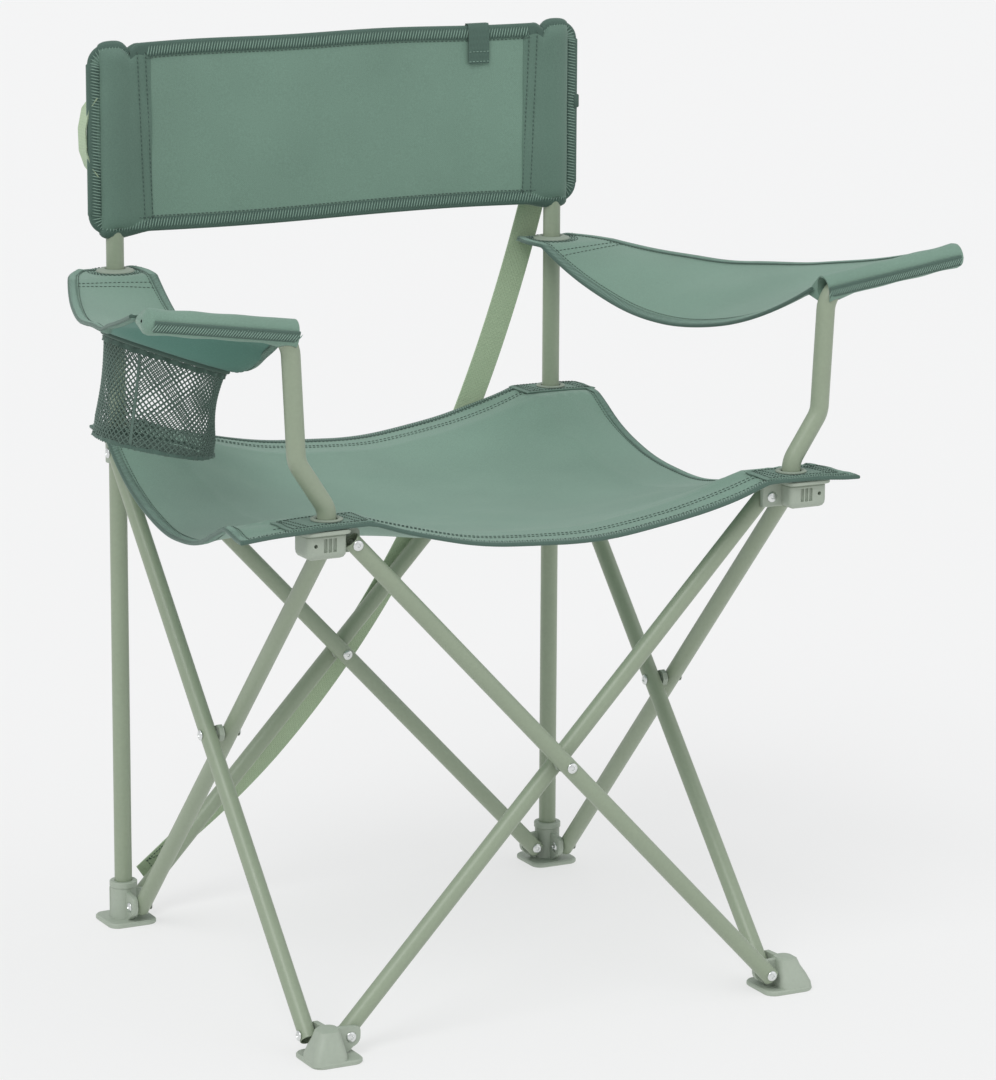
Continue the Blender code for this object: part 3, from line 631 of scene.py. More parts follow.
# --- Geometry Nodes -------------------------------------------------------------------------------
class RuledTree:
    """A Geometry Nodes tree with named inputs, run on a helper mesh and made plain."""

    def __init__(self, name: str, inputs: dict[str, tuple[str, Any]]) -> None:
        """Start the tree.

        Args:
            name: The tree's name.
            inputs: Each input's socket type and default.
        """
        self.tree = bpy.data.node_groups.new(name, "GeometryNodeTree")
        self.tree.interface.new_socket("Geometry", in_out="INPUT", socket_type="NodeSocketGeometry")
        for label, (kind, default) in inputs.items():
            socket = self.tree.interface.new_socket(label, in_out="INPUT", socket_type=kind)
            if default is not None:
                socket.default_value = default
        self.tree.interface.new_socket("Geometry", in_out="OUTPUT", socket_type="NodeSocketGeometry")
        self.graph = Graph(self.tree)
        self.given = self.graph.add("NodeGroupInput").outputs
        self.result = self.graph.add("NodeGroupOutput")

    def bars(self, radius: str, sides: int) -> bpy.types.NodeSocket:
        """A capped round bar along every edge of the guide."""
        lines = self.graph.add("GeometryNodeMeshToCurve", {0: self.given["Geometry"]})
        ring = self.graph.add(
            "GeometryNodeCurvePrimitiveCircle", {"Resolution": sides, "Radius": self.given[radius]}
        )
        inputs = {0: lines.outputs[0], 1: ring.outputs[0], "Fill Caps": True}
        return self.graph.add("GeometryNodeCurveToMesh", inputs).outputs[0]

    def at_points(self, shape: bpy.types.NodeSocket, turn: Any = (0.0, 0.0, 0.0)) -> bpy.types.NodeSocket:
        """A copy of a shape at every point of the guide."""
        points = self.graph.add("GeometryNodeMeshToPoints", {0: self.given["Geometry"]})
        inputs = {"Points": points.outputs[0], "Instance": shape, "Rotation": turn}
        return self.graph.add("GeometryNodeInstanceOnPoints", inputs).outputs[0]

    def joined(self, *parts: bpy.types.NodeSocket) -> bpy.types.NodeSocket:
        """Several geometries as one."""
        both = self.graph.add("GeometryNodeJoinGeometry")
        for part in parts:
            self.tree.links.new(part, both.inputs[0])
        return both.outputs[0]

    def lay(self) -> bpy.types.NodeSocket:
        """The guide's direction at each of its points."""
        inputs = {"Name": "lay"}
        return self.graph.add("GeometryNodeInputNamedAttribute", inputs, data_type="FLOAT_VECTOR").outputs[0]

    def close(self, geometry: bpy.types.NodeSocket) -> None:
        """End the tree in real, dressed geometry."""
        real = self.graph.add("GeometryNodeRealizeInstances", {0: geometry})
        smooth = self.graph.add("GeometryNodeSetShadeSmooth", {0: real.outputs[0]})
        dressed = self.graph.add(
            "GeometryNodeSetMaterial", {"Geometry": smooth.outputs[0], "Material": self.given["Material"]}
        )
        self.tree.links.new(dressed.outputs[0], self.result.inputs[0])

    def run(self, name: str, guide: bpy.types.Mesh, values: dict[str, Any]) -> bpy.types.Object:
        """Run the tree on a guide mesh.

        Args:
            name: The new piece's name.
            guide: The mesh that it starts from.
            values: The inputs' values by name.

        Returns:
            A plain mesh object at the origin.
        """
        helper = placed(name + "_guide", guide)
        modifier = helper.modifiers.new("Rule", "NODES")
        modifier.node_group = self.tree
        for item in self.tree.interface.items_tree:
            if item.in_out == "INPUT" and item.name in values:
                modifier[item.identifier] = values[item.name]
        mesh = plain_copy(helper)
        mesh.name = name
        bpy.data.objects.remove(helper, do_unlink=True)
        return placed(name, mesh)


def guide_mesh(runs: Iterable[Run]) -> bpy.types.Mesh:
    """Polylines with a direction at each point, as a mesh of edges with the attribute "lay"."""
    points: list[Vector] = []
    lays: list[Vector] = []
    edges: list[tuple[int, int]] = []
    for run in runs:
        first = len(points)
        points += [point for point, _ in run]
        lays += [lay for _, lay in run]
        edges += [(index, index + 1) for index in range(first, len(points) - 1)]
    mesh = bpy.data.meshes.new("guide")
    mesh.from_pydata([tuple(p) for p in points], edges, [])
    lay = mesh.attributes.new("lay", "FLOAT_VECTOR", "POINT")
    lay.data.foreach_set("vector", [value for vector in lays for value in vector])
    return mesh


@dataclass(frozen=True)
class Stitch:
    """One kind of stitch.

    Attributes:
        pitch: From one stitch to the next.
        length: Along the thread.
        width: The thread's thickness.
        slant: From the seam's direction, in degrees.
    """

    pitch: float
    length: float
    width: float = 0.0006
    slant: float = 0.0


RUNNING = Stitch(pitch=0.0040, length=0.0031, width=0.0009)
OVERLOCK = Stitch(pitch=0.0024, length=0.0085, width=0.0009, slant=68.0)
BACK_OVERLOCK = Stitch(pitch=0.0027, length=0.0105, width=0.0011, slant=76.0)
HATCH = Stitch(pitch=0.0032, length=0.0027, width=0.0009)


class StitchTree(RuledTree):
    """Lays thread along seams: a flattened bead at each step, turned by the stitch's slant."""

    def __init__(self) -> None:
        """Build the tree."""
        inputs = {"Pitch": (FLOAT, 0.004), "Length": (FLOAT, 0.003), "Width": (FLOAT, 0.0006)}
        inputs |= {"Slant": (FLOAT, 0.0), "Material": ("NodeSocketMaterial", None)}
        super().__init__("stitches", inputs)
        graph, given, lay = self.graph, self.given, self.lay()
        seam_line = graph.add("GeometryNodeMeshToCurve", {0: given["Geometry"]})
        steps = graph.add(
            "GeometryNodeCurveToPoints", {0: seam_line.outputs[0], "Length": given["Pitch"]}, mode="LENGTH"
        ).outputs
        side = graph.add("ShaderNodeVectorMath", {0: lay, 1: steps["Tangent"]}, operation="CROSS_PRODUCT")
        ahead = graph.scale(steps["Tangent"], graph.math("COSINE", given["Slant"]))
        over = graph.scale(side.outputs[0], graph.math("SINE", given["Slant"]))
        aim = graph.add("ShaderNodeVectorMath", {0: ahead, 1: over}, operation="ADD")
        turn = graph.add("FunctionNodeAlignRotationToVector", {"Vector": aim.outputs[0]}, axis="X")
        turn = graph.add(
            "FunctionNodeAlignRotationToVector",
            {"Rotation": turn.outputs[0], "Vector": lay},
            axis="Z",
            pivot_axis="X",
        )
        bead = graph.add("GeometryNodeMeshUVSphere", {"Segments": 6, "Rings": 4, "Radius": 0.5})
        size = graph.add("ShaderNodeCombineXYZ", {0: given["Length"], 1: given["Width"], 2: given["Width"]})
        thread = graph.add("GeometryNodeTransform", {0: bead.outputs[0], "Scale": size.outputs[0]})
        inputs = {"Points": steps[0], "Instance": thread.outputs[0], "Rotation": turn.outputs[0]}
        self.close(graph.add("GeometryNodeInstanceOnPoints", inputs).outputs[0])

    def sew(
        self, name: str, runs: Sequence[Run], kind: Stitch, thread: bpy.types.Material
    ) -> bpy.types.Object:
        """Sew seams of one kind.

        Args:
            name: The new piece's name.
            runs: The seams, each a row of points and outward directions.
            kind: The stitch.
            thread: Its material.

        Returns:
            The stitches as one piece.
        """
        values = {"Pitch": kind.pitch, "Length": kind.length, "Width": kind.width}
        values |= {"Slant": math.radians(kind.slant), "Material": thread}
        return self.run(name, guide_mesh(runs), values)


class NetTree(RuledTree):
    """Knots a cord along every edge of a lattice."""

    def __init__(self) -> None:
        """Build the tree."""
        inputs = {"Cord Radius": (FLOAT, 0.0005), "Knot Radius": (FLOAT, 0.0008)}
        super().__init__("net", inputs | {"Material": ("NodeSocketMaterial", None)})
        inputs = {"Radius": self.given["Knot Radius"], "Subdivisions": 1}
        knot = self.graph.add("GeometryNodeMeshIcoSphere", inputs)
        self.close(self.joined(self.bars("Cord Radius", 5), self.at_points(knot.outputs[0])))


class RivetTree(RuledTree):
    """Sets a shank along every edge of the guide and a head at each of its ends."""

    def __init__(self) -> None:
        """Build the tree."""
        inputs = {"Head": ("NodeSocketObject", None), "Shank Radius": (FLOAT, 0.0025)}
        super().__init__("rivets", inputs | {"Material": ("NodeSocketMaterial", None)})
        turn = self.graph.add("FunctionNodeAlignRotationToVector", {"Vector": self.lay()}, axis="Z")
        head = self.graph.add("GeometryNodeObjectInfo", {0: self.given["Head"]}).outputs["Geometry"]
        self.close(self.joined(self.bars("Shank Radius", 16), self.at_points(head, turn.outputs[0])))


@dataclass
class Workshop:
    """What every sub-assembly needs: the finishes, the trees and the frame."""

    finishes: Wardrobe
    stitches: StitchTree
    net: NetTree
    rivets: RivetTree
    frame: dict[str, Any]

    def set_on(
        self, item: bpy.types.Object, body: str, nodes: Sequence[str] = ()
    ) -> bpy.types.Object:
        """Tie a finished piece to its body, and hide the nodes that it stands for.

        Args:
            item: The piece.
            body: The body that it moves with.
            nodes: The nodes that it replaces.

        Returns:
            The piece.
        """
        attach(item, body)
        if nodes:
            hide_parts(*nodes)
        LOG.info("%s rides on %s", item.name, body)
        return item

    def sew_on(
        self, name: str, runs: Sequence[Run], kind: Stitch, thread: bpy.types.Material, body: str
    ) -> bpy.types.Object:
        """Sew seams and tie them to a body."""
        return self.set_on(self.stitches.sew(name, runs, kind, thread), body)


# --- The frame's own places -----------------------------------------------------------------------
@dataclass(frozen=True)
class Skeleton:
    """Places on the folding frame, read from its joints and nodes.

    Attributes:
        corner: From the middle to each corner's axis, along X and Y.
        pivot: From the middle to the tube pivots.
        foot_z: The height of the low pivots.
        seat_z: The height of the high pivots.
        cloth_z: The height of the seat cloth at its corners.
    """

    corner: float
    pivot: float
    foot_z: float
    seat_z: float
    cloth_z: float

    @classmethod
    def read(cls, frame: dict[str, Any]) -> Skeleton:
        """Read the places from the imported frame."""
        at = {joint["name"]: Vector(joint["pos_m"]) for joint in frame["joints"] if "pos_m" in joint}
        low, high = at["rear_fold"], at["rear_left_sleeve_hinge"]
        return cls(low.y, -low.x, low.z, high.z, at["seat_front_fold"].z)


def ends_of(node: str) -> tuple[Vector, Vector, Vector]:
    """A node's lowest and highest corners, and its middle."""
    low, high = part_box(node)
    return low, high, (low + high) / 2


def body_of_node(frame: dict[str, Any], node: str) -> str:
    """The body that a node belongs to."""
    return next(b for b, nodes in frame["record"]["behaviour"]["bodies"].items() if node in nodes)


# --- Hard parts -----------------------------------------------------------------------------------
@dataclass
class CrossedTubes:
    """The eight crossed tubes, the two uprights and their caps.

    Attributes:
        radius: A crossed tube's radius.
        upright_radius: An upright's radius.
        wall: The steel's thickness.
        tail: How far a crossed tube runs past its end pivots.
    """

    radius: float = 0.0075
    upright_radius: float = 0.008
    wall: float = 0.001
    tail: float = 0.005

    def build(self, shop: Workshop, bones: Skeleton) -> None:
        """Make every straight tube."""
        for side in EDGES:
            for kind in ("inner", "outer"):
                self._crossed(shop, bones, f"{side}_{kind}_tube")
        for hand, _ in SIDES:
            node = f"rear_{hand}_upright"
            low, high, middle = ends_of(node)
            path = [Vector((middle.x, middle.y, z)) for z in (low.z, middle.z, high.z)]
            bar = round_bar(path, self.upright_radius, self.wall)
            item = new_piece(f"{node}_tube", *bar, shop.finishes.paint)
            shop.set_on(item, body_of_node(shop.frame, node), [node])
            shop.frame["nodes"][f"{node}_cap"].data.materials[0] = shop.finishes.plastic

    def _crossed(self, shop: Workshop, bones: Skeleton, node: str) -> None:
        """Make one crossed tube, between the same two pivots as its node."""
        low, high, middle = ends_of(node)
        across_x = high.x - low.x > high.y - low.y
        points = [tuple(vertex.co) for vertex in shop.frame["nodes"][node].data.vertices]
        lowest = min(points, key=lambda point: point[2])
        sign = 1 if (lowest[0] < middle.x if across_x else lowest[1] < middle.y) else -1
        reach = Vector((sign * bones.pivot, 0, 0)) if across_x else Vector((0, sign * bones.pivot, 0))
        start = Vector((middle.x, middle.y, bones.foot_z)) - reach
        end = Vector((middle.x, middle.y, bones.seat_z)) + reach
        along = (end - start).normalized()
        path = [start - along * self.tail, (start + end) / 2, end + along * self.tail]
        item = new_piece(f"{node}_bar", *round_bar(path, self.radius, self.wall), shop.finishes.paint)
        shop.set_on(item, body_of_node(shop.frame, node), [node])


@dataclass
class ArmTubes:
    """The two bent tubes that carry the armrests.

    Attributes:
        radius: The tube's radius.
        wall: Its wall.
        bend: The radius of its bends.
        lean: Above the high pivots, where it leans out.
        stem: How far out and up its second bend is.
        bar: How far out and up the bend under the armrest is.
        end: How far out and up it ends.
        floor: Under the high pivots, where it starts.
    """

    radius: float = 0.008
    wall: float = 0.0012
    bend: float = 0.024
    lean: float = 0.029
    stem: tuple[float, float] = (0.027, 0.070)
    bar: tuple[float, float] = (0.0325, 0.178)
    end: tuple[float, float] = (0.166, 0.197)
    floor: float = 0.0097

    def tip(self, side: int) -> tuple[float, float]:
        """How far out and up the tube ends: the left one is a little shorter."""
        share = 0.925 if side < 0 else 0.965
        return tuple(bar + (end - bar) * share for bar, end in zip(self.bar, self.end))

    def path(self, bones: Skeleton, side: int) -> list[Vector]:
        """The tube's axis on one side, from its bracket to its outer end."""
        bends = ((0.0, -self.floor), (0.0, self.lean), self.stem, self.bar, self.tip(side))
        corners = [Vector((bones.corner + out, bones.seat_z + up)) for out, up in bends]
        return [Vector((side * p.x, -bones.corner, p.y)) for p in rounded(corners, self.bend, 10)]

    def build(self, shop: Workshop, bones: Skeleton) -> None:
        """Make both arm tubes."""
        for hand, side in SIDES:
            shape = round_bar(self.path(bones, side), self.radius, self.wall, sides=32)
            item = new_piece(f"{hand}_arm_tube_bent", *shape, shop.finishes.paint)
            shop.set_on(item, f"front_{hand}_bracket", [f"{hand}_arm_tube"])


@dataclass
class Mouldings:
    """The plastic sleeves that slide on the uprights, with softened edges.

    Attributes:
        edge: How far their edges are rounded.
    """

    edge: float = 0.0009

    def build(self, shop: Workshop) -> None:
        """Remake each moulding from a merged copy of its node."""
        for hand, _ in SIDES:
            node = f"rear_{hand}_sleeve"
            shop.set_on(self._softened(shop, node), body_of_node(shop.frame, node), [node])
        for side in EDGES:
            shop.frame["nodes"][f"{side}_crossing_spacer"].data.materials[0] = shop.finishes.plastic

    def _softened(self, shop: Workshop, node: str) -> bpy.types.Object:
        """A copy of a node with flat faces joined and edges rounded."""
        mesh = shop.frame["nodes"][node].data.copy()
        tidy = bmesh.new()
        tidy.from_mesh(mesh)
        bmesh.ops.remove_doubles(tidy, verts=tidy.verts, dist=2e-5)
        bmesh.ops.dissolve_limit(
            tidy, angle_limit=math.radians(1), verts=tidy.verts, edges=tidy.edges, delimit={"NORMAL"}
        )
        tidy.to_mesh(mesh)
        tidy.free()
        mesh.materials.clear()
        mesh.materials.append(shop.finishes.plastic)
        mesh.shade_smooth()
        made = placed(f"{node}_moulding", mesh)
        bevel = made.modifiers.new("Edges", "BEVEL")
        bevel.width = self.edge
        bevel.segments = 2
        bevel.limit_method = "ANGLE"
        bevel.angle_limit = math.radians(40)
        mesh.set_sharp_from_angle(angle=math.radians(60))
        return made


def rounded_slab(
    centre: tuple[float, float],
    half: tuple[float, float],
    corner: float,
    levels: Sequence[tuple[float, float]],
) -> Shape:
    """An upright block with rounded corners.

    Args:
        centre: Its centre in plan.
        half: Half its width and depth.
        corner: The radius of its corners in plan.
        levels: Pairs of height and the distance by which it is inset there.

    Returns:
        The points and faces.
    """
    rings = []
    for z, inset in levels:
        ring = []
        wide, deep = half[0] - inset, half[1] - inset
        radius = max(0.0008, min(corner, wide, deep) - inset)
        for quarter, (sx, sy) in enumerate(((1, 1), (-1, 1), (-1, -1), (1, -1))):
            middle = Vector((centre[0] + sx * (wide - radius), centre[1] + sy * (deep - radius)))
            points = arc(middle, radius, 90 * quarter, 90 * quarter + 90, 6)
            ring += [Vector((point.x, point.y, z)) for point in points]
        rings.append(ring)
    return skin(rings)


@dataclass
class Corner:
    """What the feet and the front brackets share: two fins at right angles, to which tubes are riveted.

    Attributes:
        fin: The fins' thickness.
        lug: The radius of their rounded ends.
        soft: The rounding of edges.
        square: The radius of a square lug's corner, or 0 for a round lug.
    """

    fin: float = 0.005
    lug: float = 0.009
    soft: float = 0.0007
    square: float = 0.0045

    def fins(
        self,
        item: bpy.types.Object,
        bones: Skeleton,
        side: tuple[int, int],
        low: float,
        pivot: float,
        high: float,
    ) -> None:
        """Add both fins to a piece.

        Args:
            item: The piece.
            bones: The frame's places.
            side: The corner's signs along X and Y.
            low: The fins' foot.
            pivot: The height of their rivets.
            high: Their top at the corner.
        """
        reach = bones.corner - bones.pivot
        lug = arc(Vector((reach, pivot)), self.lug, 0, 105, 10)
        if self.square:
            top = max(high - 0.0015, pivot + self.lug)
            corner = Vector((reach + self.lug - self.square, top - self.square))
            lug = arc(corner, self.square, 0, 90, 6)
        under = arc(Vector((reach, pivot)), self.lug, -75, 0, 6) if pivot - low > self.lug else []
        far = reach * 0.6 if under else reach + self.lug
        outline = [Vector((-0.003, low)), Vector((far, low))]
        outline += [*under, *lug, Vector((0.004, high)), Vector((-0.003, high))]
        middle = sum(outline, Vector((0, 0))) / len(outline)
        half, core = self.fin / 2, self.fin / 2 - self.soft
        levels = ((-half, 0.955), (-core, 1), (core, 1), (half, 0.955))
        for along_x in (True, False):
            rings = []
            for offset, scale in levels:
                ring = []
                for point in outline:
                    away, z = middle + (point - middle) * scale
                    inward = bones.corner - away
                    flat = (side[0] * inward, side[1] * bones.corner + offset)
                    if not along_x:
                        flat = (side[0] * bones.corner + offset, side[1] * inward)
                    ring.append(Vector((*flat, z)))
                rings.append(ring)
            cut(item, skin(rings), Join.ADD)


@dataclass
class Feet(Corner):
    """The four feet: a rounded plate, two fins, and a socket or a sloped hull over the corner.

    Attributes:
        half: Half the plate's width.
        plate: The plate's thickness.
        round_off: The radius of the plate's corners.
        socket: The outer radius and top of a rear foot's socket.
        bore: The radius of a socket's hole.
        hull: Half the width of a front foot's hull at its foot, and its top.
    """

    half: float = 0.0235
    plate: float = 0.0045
    round_off: float = 0.010
    socket: tuple[float, float] = (0.0118, 0.0385)
    bore: float = 0.0083
    hull: tuple[float, float] = (0.0160, 0.0290)

    def build(self, shop: Workshop, bones: Skeleton) -> None:
        """Make all four feet."""
        for end, side_y in (("front", -1), ("rear", 1)):
            for hand, side_x in SIDES:
                node = f"{end}_{hand}_foot"
                centre = (side_x * (bones.corner - 0.0015), side_y * (bones.corner - 0.0015))
                levels = [(0.0, 0.0010), (0.0010, 0.0), (self.plate - 0.0012, 0.0), (self.plate, 0.0012)]
                slab = rounded_slab(centre, (self.half, self.half), self.round_off, levels)
                item = new_piece(f"{node}_moulding", *slab, shop.finishes.plastic, crease=35)
                top = self.hull[1] if end == "front" else 0.031
                self.fins(item, bones, (side_x, side_y), 0.001, bones.foot_z, top - 0.001)
                if end == "rear":
                    self._socket(item, bones, side_x)
                else:
                    self._hull(item, bones, side_x)
                soften(item)
                shop.set_on(item, body_of_node(shop.frame, node), [node])

    def _socket(self, item: bpy.types.Object, bones: Skeleton, side_x: int) -> None:
        """Add the socket that an upright stands in, with a rim and four ribs, and bore it."""
        radius, top = self.socket
        axis = Matrix.Translation((side_x * bones.corner, bones.corner, 0))
        rim = radius + 0.0009
        profile = [(0, 0.002), (radius + 0.002, 0.002), (radius, 0.012)]
        profile += [(radius, top - 0.006), (rim, top - 0.005)]
        profile += [(rim, top - 0.0007), (rim - 0.0007, top), (0, top)]
        cut(item, turned(profile, axis, 40), Join.ADD)
        for degrees in (20, 45, 70, 110):
            turn = math.radians(degrees if side_x > 0 else 180 - degrees)
            out = Vector((math.cos(turn), math.sin(turn), 0))
            heights = (0.004, 0.015, top - 0.006)
            path = [Vector((side_x * bones.corner, bones.corner, z)) + out * radius for z in heights]
            cut(item, round_bar(path, 0.0011, sides=10, lip=0.0003), Join.ADD)
        heights = (self.plate + 0.0005, top / 2, top + 0.004)
        bore = [Vector((side_x * bones.corner, bones.corner, z)) for z in heights]
        cut(item, round_bar(bore, self.bore, sides=40))

    def _hull(self, item: bpy.types.Object, bones: Skeleton, side_x: int) -> None:
        """Add the sloped hull between a front foot's fins, with a groove in it."""
        half, top = self.hull
        rise = (0.002, 0.008, 0.015, 0.021, top - 0.0015, top)
        inset = (0.0, 0.0006, 0.0026, 0.0048, 0.0064, 0.0080)
        centre = (side_x * (bones.corner + 0.0055), -bones.corner - 0.0055)
        rings = []
        for z, narrow in zip(rise, inset):
            shift = narrow * 0.55
            place = (centre[0] - side_x * shift, centre[1] + shift)
            verts, _ = rounded_slab(place, (half - narrow, half - narrow), 0.007, [(z, 0.0), (z, 0.0)])
            rings.append(verts[: len(verts) // 2])
        cut(item, skin(rings), Join.ADD)
        groove = [
            Vector((centre[0] + side_x * 0.002, centre[1] - 0.002, z)) + Vector((side_x, -1, 0)) * out
            for z, out in ((0.009, 0.0118), (0.016, 0.0098), (0.024, 0.0062))
        ]
        cut(item, round_bar(groove, 0.0014, sides=12, lip=0.0004))


@dataclass
class Brackets(Corner):
    """The front brackets: a block with rounded lower corners, two fins, and a flange under the seat.

    Attributes:
        half: Half the block's width and depth.
        shift: How far the block stands out from the tube's axis.
        drop: From the high pivots down to the block's underside.
        rise: From the high pivots up to the flange's top.
        bore: The radius of the hole for the arm tube.
    """

    half: tuple[float, float] = (0.0180, 0.0140)
    shift: tuple[float, float] = (0.0075, 0.0040)
    drop: float = 0.0095
    rise: float = 0.0150
    bore: float = 0.0083

    def build(self, shop: Workshop, bones: Skeleton) -> None:
        """Make both brackets."""
        for hand, side_x in SIDES:
            node = f"front_{hand}_bracket"
            centre = (side_x * (bones.corner + self.shift[0]), -bones.corner - self.shift[1])
            low, high = bones.seat_z - self.drop, bones.seat_z + self.rise
            levels = [(low, 0.0045), (low + 0.0012, 0.0020), (low + 0.0035, 0.0004), (low + 0.006, 0.0)]
            levels += [(high - 0.0055, 0.0), (high - 0.0045, 0.0008), (high - 0.003, 0.0008)]
            slab = rounded_slab(centre, self.half, 0.0045, levels)
            item = new_piece(f"{node}_moulding", *slab, shop.finishes.plastic, crease=35)
            flange = [(high - 0.0034, 0.0006), (high - 0.0028, 0.0), (high - 0.0008, 0.0), (high, 0.0008)]
            wide = (self.half[0] + 0.0035, self.half[1] + 0.0045)
            cut(item, rounded_slab(centre, wide, 0.008, flange), Join.ADD)
            self.fins(item, bones, (side_x, -1), low + 0.001, bones.seat_z, high - 0.002)
            self._window(item, centre, side_x, low, high)
            heights = (low + 0.0015, high, high + 0.005)
            tube = [Vector((side_x * bones.corner, -bones.corner, z)) for z in heights]
            cut(item, round_bar(tube, self.bore, sides=40))
            soften(item)
            shop.set_on(item, body_of_node(shop.frame, node), [node])

    def _window(
        self, item: bpy.types.Object, centre: tuple[float, float], side_x: int, low: float, high: float
    ) -> None:
        """Cut the ribbed window in the block's front and the small hole beside it."""
        face = centre[1] - self.half[1]
        for step in range(3):
            x = centre[0] - side_x * (0.0065 - 0.0042 * step)
            slot = [(low + 0.0062, 0.0003), (low + 0.0066, 0.0)]
            slot += [(high - 0.0072, 0.0), (high - 0.0068, 0.0003)]
            cut(item, rounded_slab((x, face), (0.0016, 0.0022), 0.0009, slot))
        across, level = centre[0] + side_x * 0.0105, (low + high) / 2
        hole = [Vector((across, face + y, level)) for y in (-0.003, 0.0, 0.004)]
        cut(item, round_bar(hole, 0.0017, sides=16, lip=0.0002))


@dataclass
class Rivets:
    """The zinc-plated tubular rivets of every pivot.

    Attributes:
        shank: The shank's radius.
        head: The head's radius.
        height: The head's height.
        dimple: The radius of the dimple in the head.
    """

    shank: float = 0.0025
    head: float = 0.0046
    height: float = 0.0016
    dimple: float = 0.0016

    def build(self, shop: Workshop) -> None:
        """Set one piece of rivets on each body that carries any."""
        head = self._head(shop)
        for body, nodes in shop.frame["record"]["behaviour"]["bodies"].items():
            rivets = [node for node in nodes if node.endswith("_rivet")]
            if not rivets:
                continue
            values = {"Head": head, "Shank Radius": self.shank, "Material": shop.finishes.zinc}
            item = shop.rivets.run(f"{body}_rivets", guide_mesh(map(self._axis, rivets)), values)
            item.data.set_sharp_from_angle(angle=math.radians(40))
            shop.set_on(item, body, rivets)
        bpy.data.objects.remove(head, do_unlink=True)

    def _axis(self, node: str) -> Run:
        """A rivet's two head seats, with the way each faces."""
        low, high, middle = ends_of(node)
        along = Vector((0, 1, 0)) if high.y - low.y > high.x - low.x else Vector((1, 0, 0))
        reach = along * ((high - low).dot(along) / 2 - 0.0014)
        return [(middle - reach, -along), (middle + reach, along)]

    def _head(self, shop: Workshop) -> bpy.types.Object:
        """A domed head with a dimple, seated at the origin."""
        turns = [math.radians(15 * step) for step in range(5)]
        dome = [(self.head * math.cos(turn), self.height * math.sin(turn)) for turn in turns]
        shares = [(1.0, 0.93), (0.7, 0.35), (0, 0.3)]
        dimple = [(self.dimple * out, self.height * up) for out, up in shares]
        profile = [(0, -0.0002), (self.head, -0.0002), *dome, *dimple]
        shape = turned(profile, Matrix.Identity(4), 24)
        return new_piece("rivet_head", *shape, shop.finishes.zinc, crease=50)


# --- Cloth ----------------------------------------------------------------------------------------
def tape_section(width: float, thick: float) -> list[tuple[float, float]]:
    """The outline of a tape folded over an edge, as (inward, up) from the cloth's edge."""
    half = thick / 2
    nose = [(-half * 0.9 * math.sin(a), half * math.cos(a)) for a in (math.radians(30 * k) for k in range(7))]
    return [(width, half * 0.75), (width * 0.5, half), *nose, (width * 0.5, -half), (width, -half * 0.75)]


def edge_tape(
    name: str, edge: Sequence[EdgeRow], width: float, thick: float, surface: bpy.types.Material
) -> bpy.types.Object:
    """A tape folded over a cloth's edge.

    Args:
        name: The piece's name.
        edge: Rows of the edge's point, the cloth's normal and the way inward.
        width: How far it reaches in from the edge.
        thick: How thick it is over the cloth.
        surface: Its material.

    Returns:
        The tape.
    """
    rings, uvs, run = [], [], 0.0
    section = tape_section(width, thick)
    for index, (point, up, inward) in enumerate(edge):
        run += (point - edge[index - 1][0]).length if index else 0.0
        rings.append([point + inward * a + up * b for a, b in section])
        uvs += [(run, k * width / len(section)) for k in range(len(section))]
    return new_piece(name, *skin(rings), surface, uvs, crease=60)


def edge_rows(
    surface: Surface, line: Sequence[tuple[float, float]], inward: tuple[float, float]
) -> list[EdgeRow]:
    """Rows for edge_tape along a line of a surface.

    Args:
        surface: The cloth.
        line: The (u, v) points of the edge.
        inward: The way in, in u and v.

    Returns:
        The edge's points, normals and inward directions.
    """
    rows = []
    for u, v in line:
        point, up = surface(u, v), upward(surface, u, v)
        step = surface(u + inward[0] * 0.004, v + inward[1] * 0.004) - point
        rows.append((point, up, (step - up * step.dot(up)).normalized()))
    return rows


def seam(surface: Surface, line: Sequence[tuple[float, float]], lift: float) -> Run:
    """Points of a seam on a surface's upper side, each with the way up."""
    ups = [upward(surface, u, v) for u, v in line]
    return [(surface(u, v) + up * lift, up) for (u, v), up in zip(line, ups)]


def corner_seam(surface: Surface, line: Sequence[tuple[float, float]], step: float, lift: float) -> Run:
    """A seam that turns at corners, with points between them."""
    return seam(surface, [point.to_tuple() for point in spread([Vector(end) for end in line], step)], lift)


def beside(rows: Sequence[EdgeRow], inward: float, lift: float) -> Run:
    """A seam at a distance in from an edge, and above the cloth's middle."""
    return [(point + way * inward + up * lift, up) for point, up, way in rows]


def mirrored(runs: Sequence[Run], surface_thickness: float) -> list[Run]:
    """The same seams on the cloth's other side."""
    return [[(point - up * (surface_thickness + 2 * LIFT), -up) for point, up in run] for run in runs]


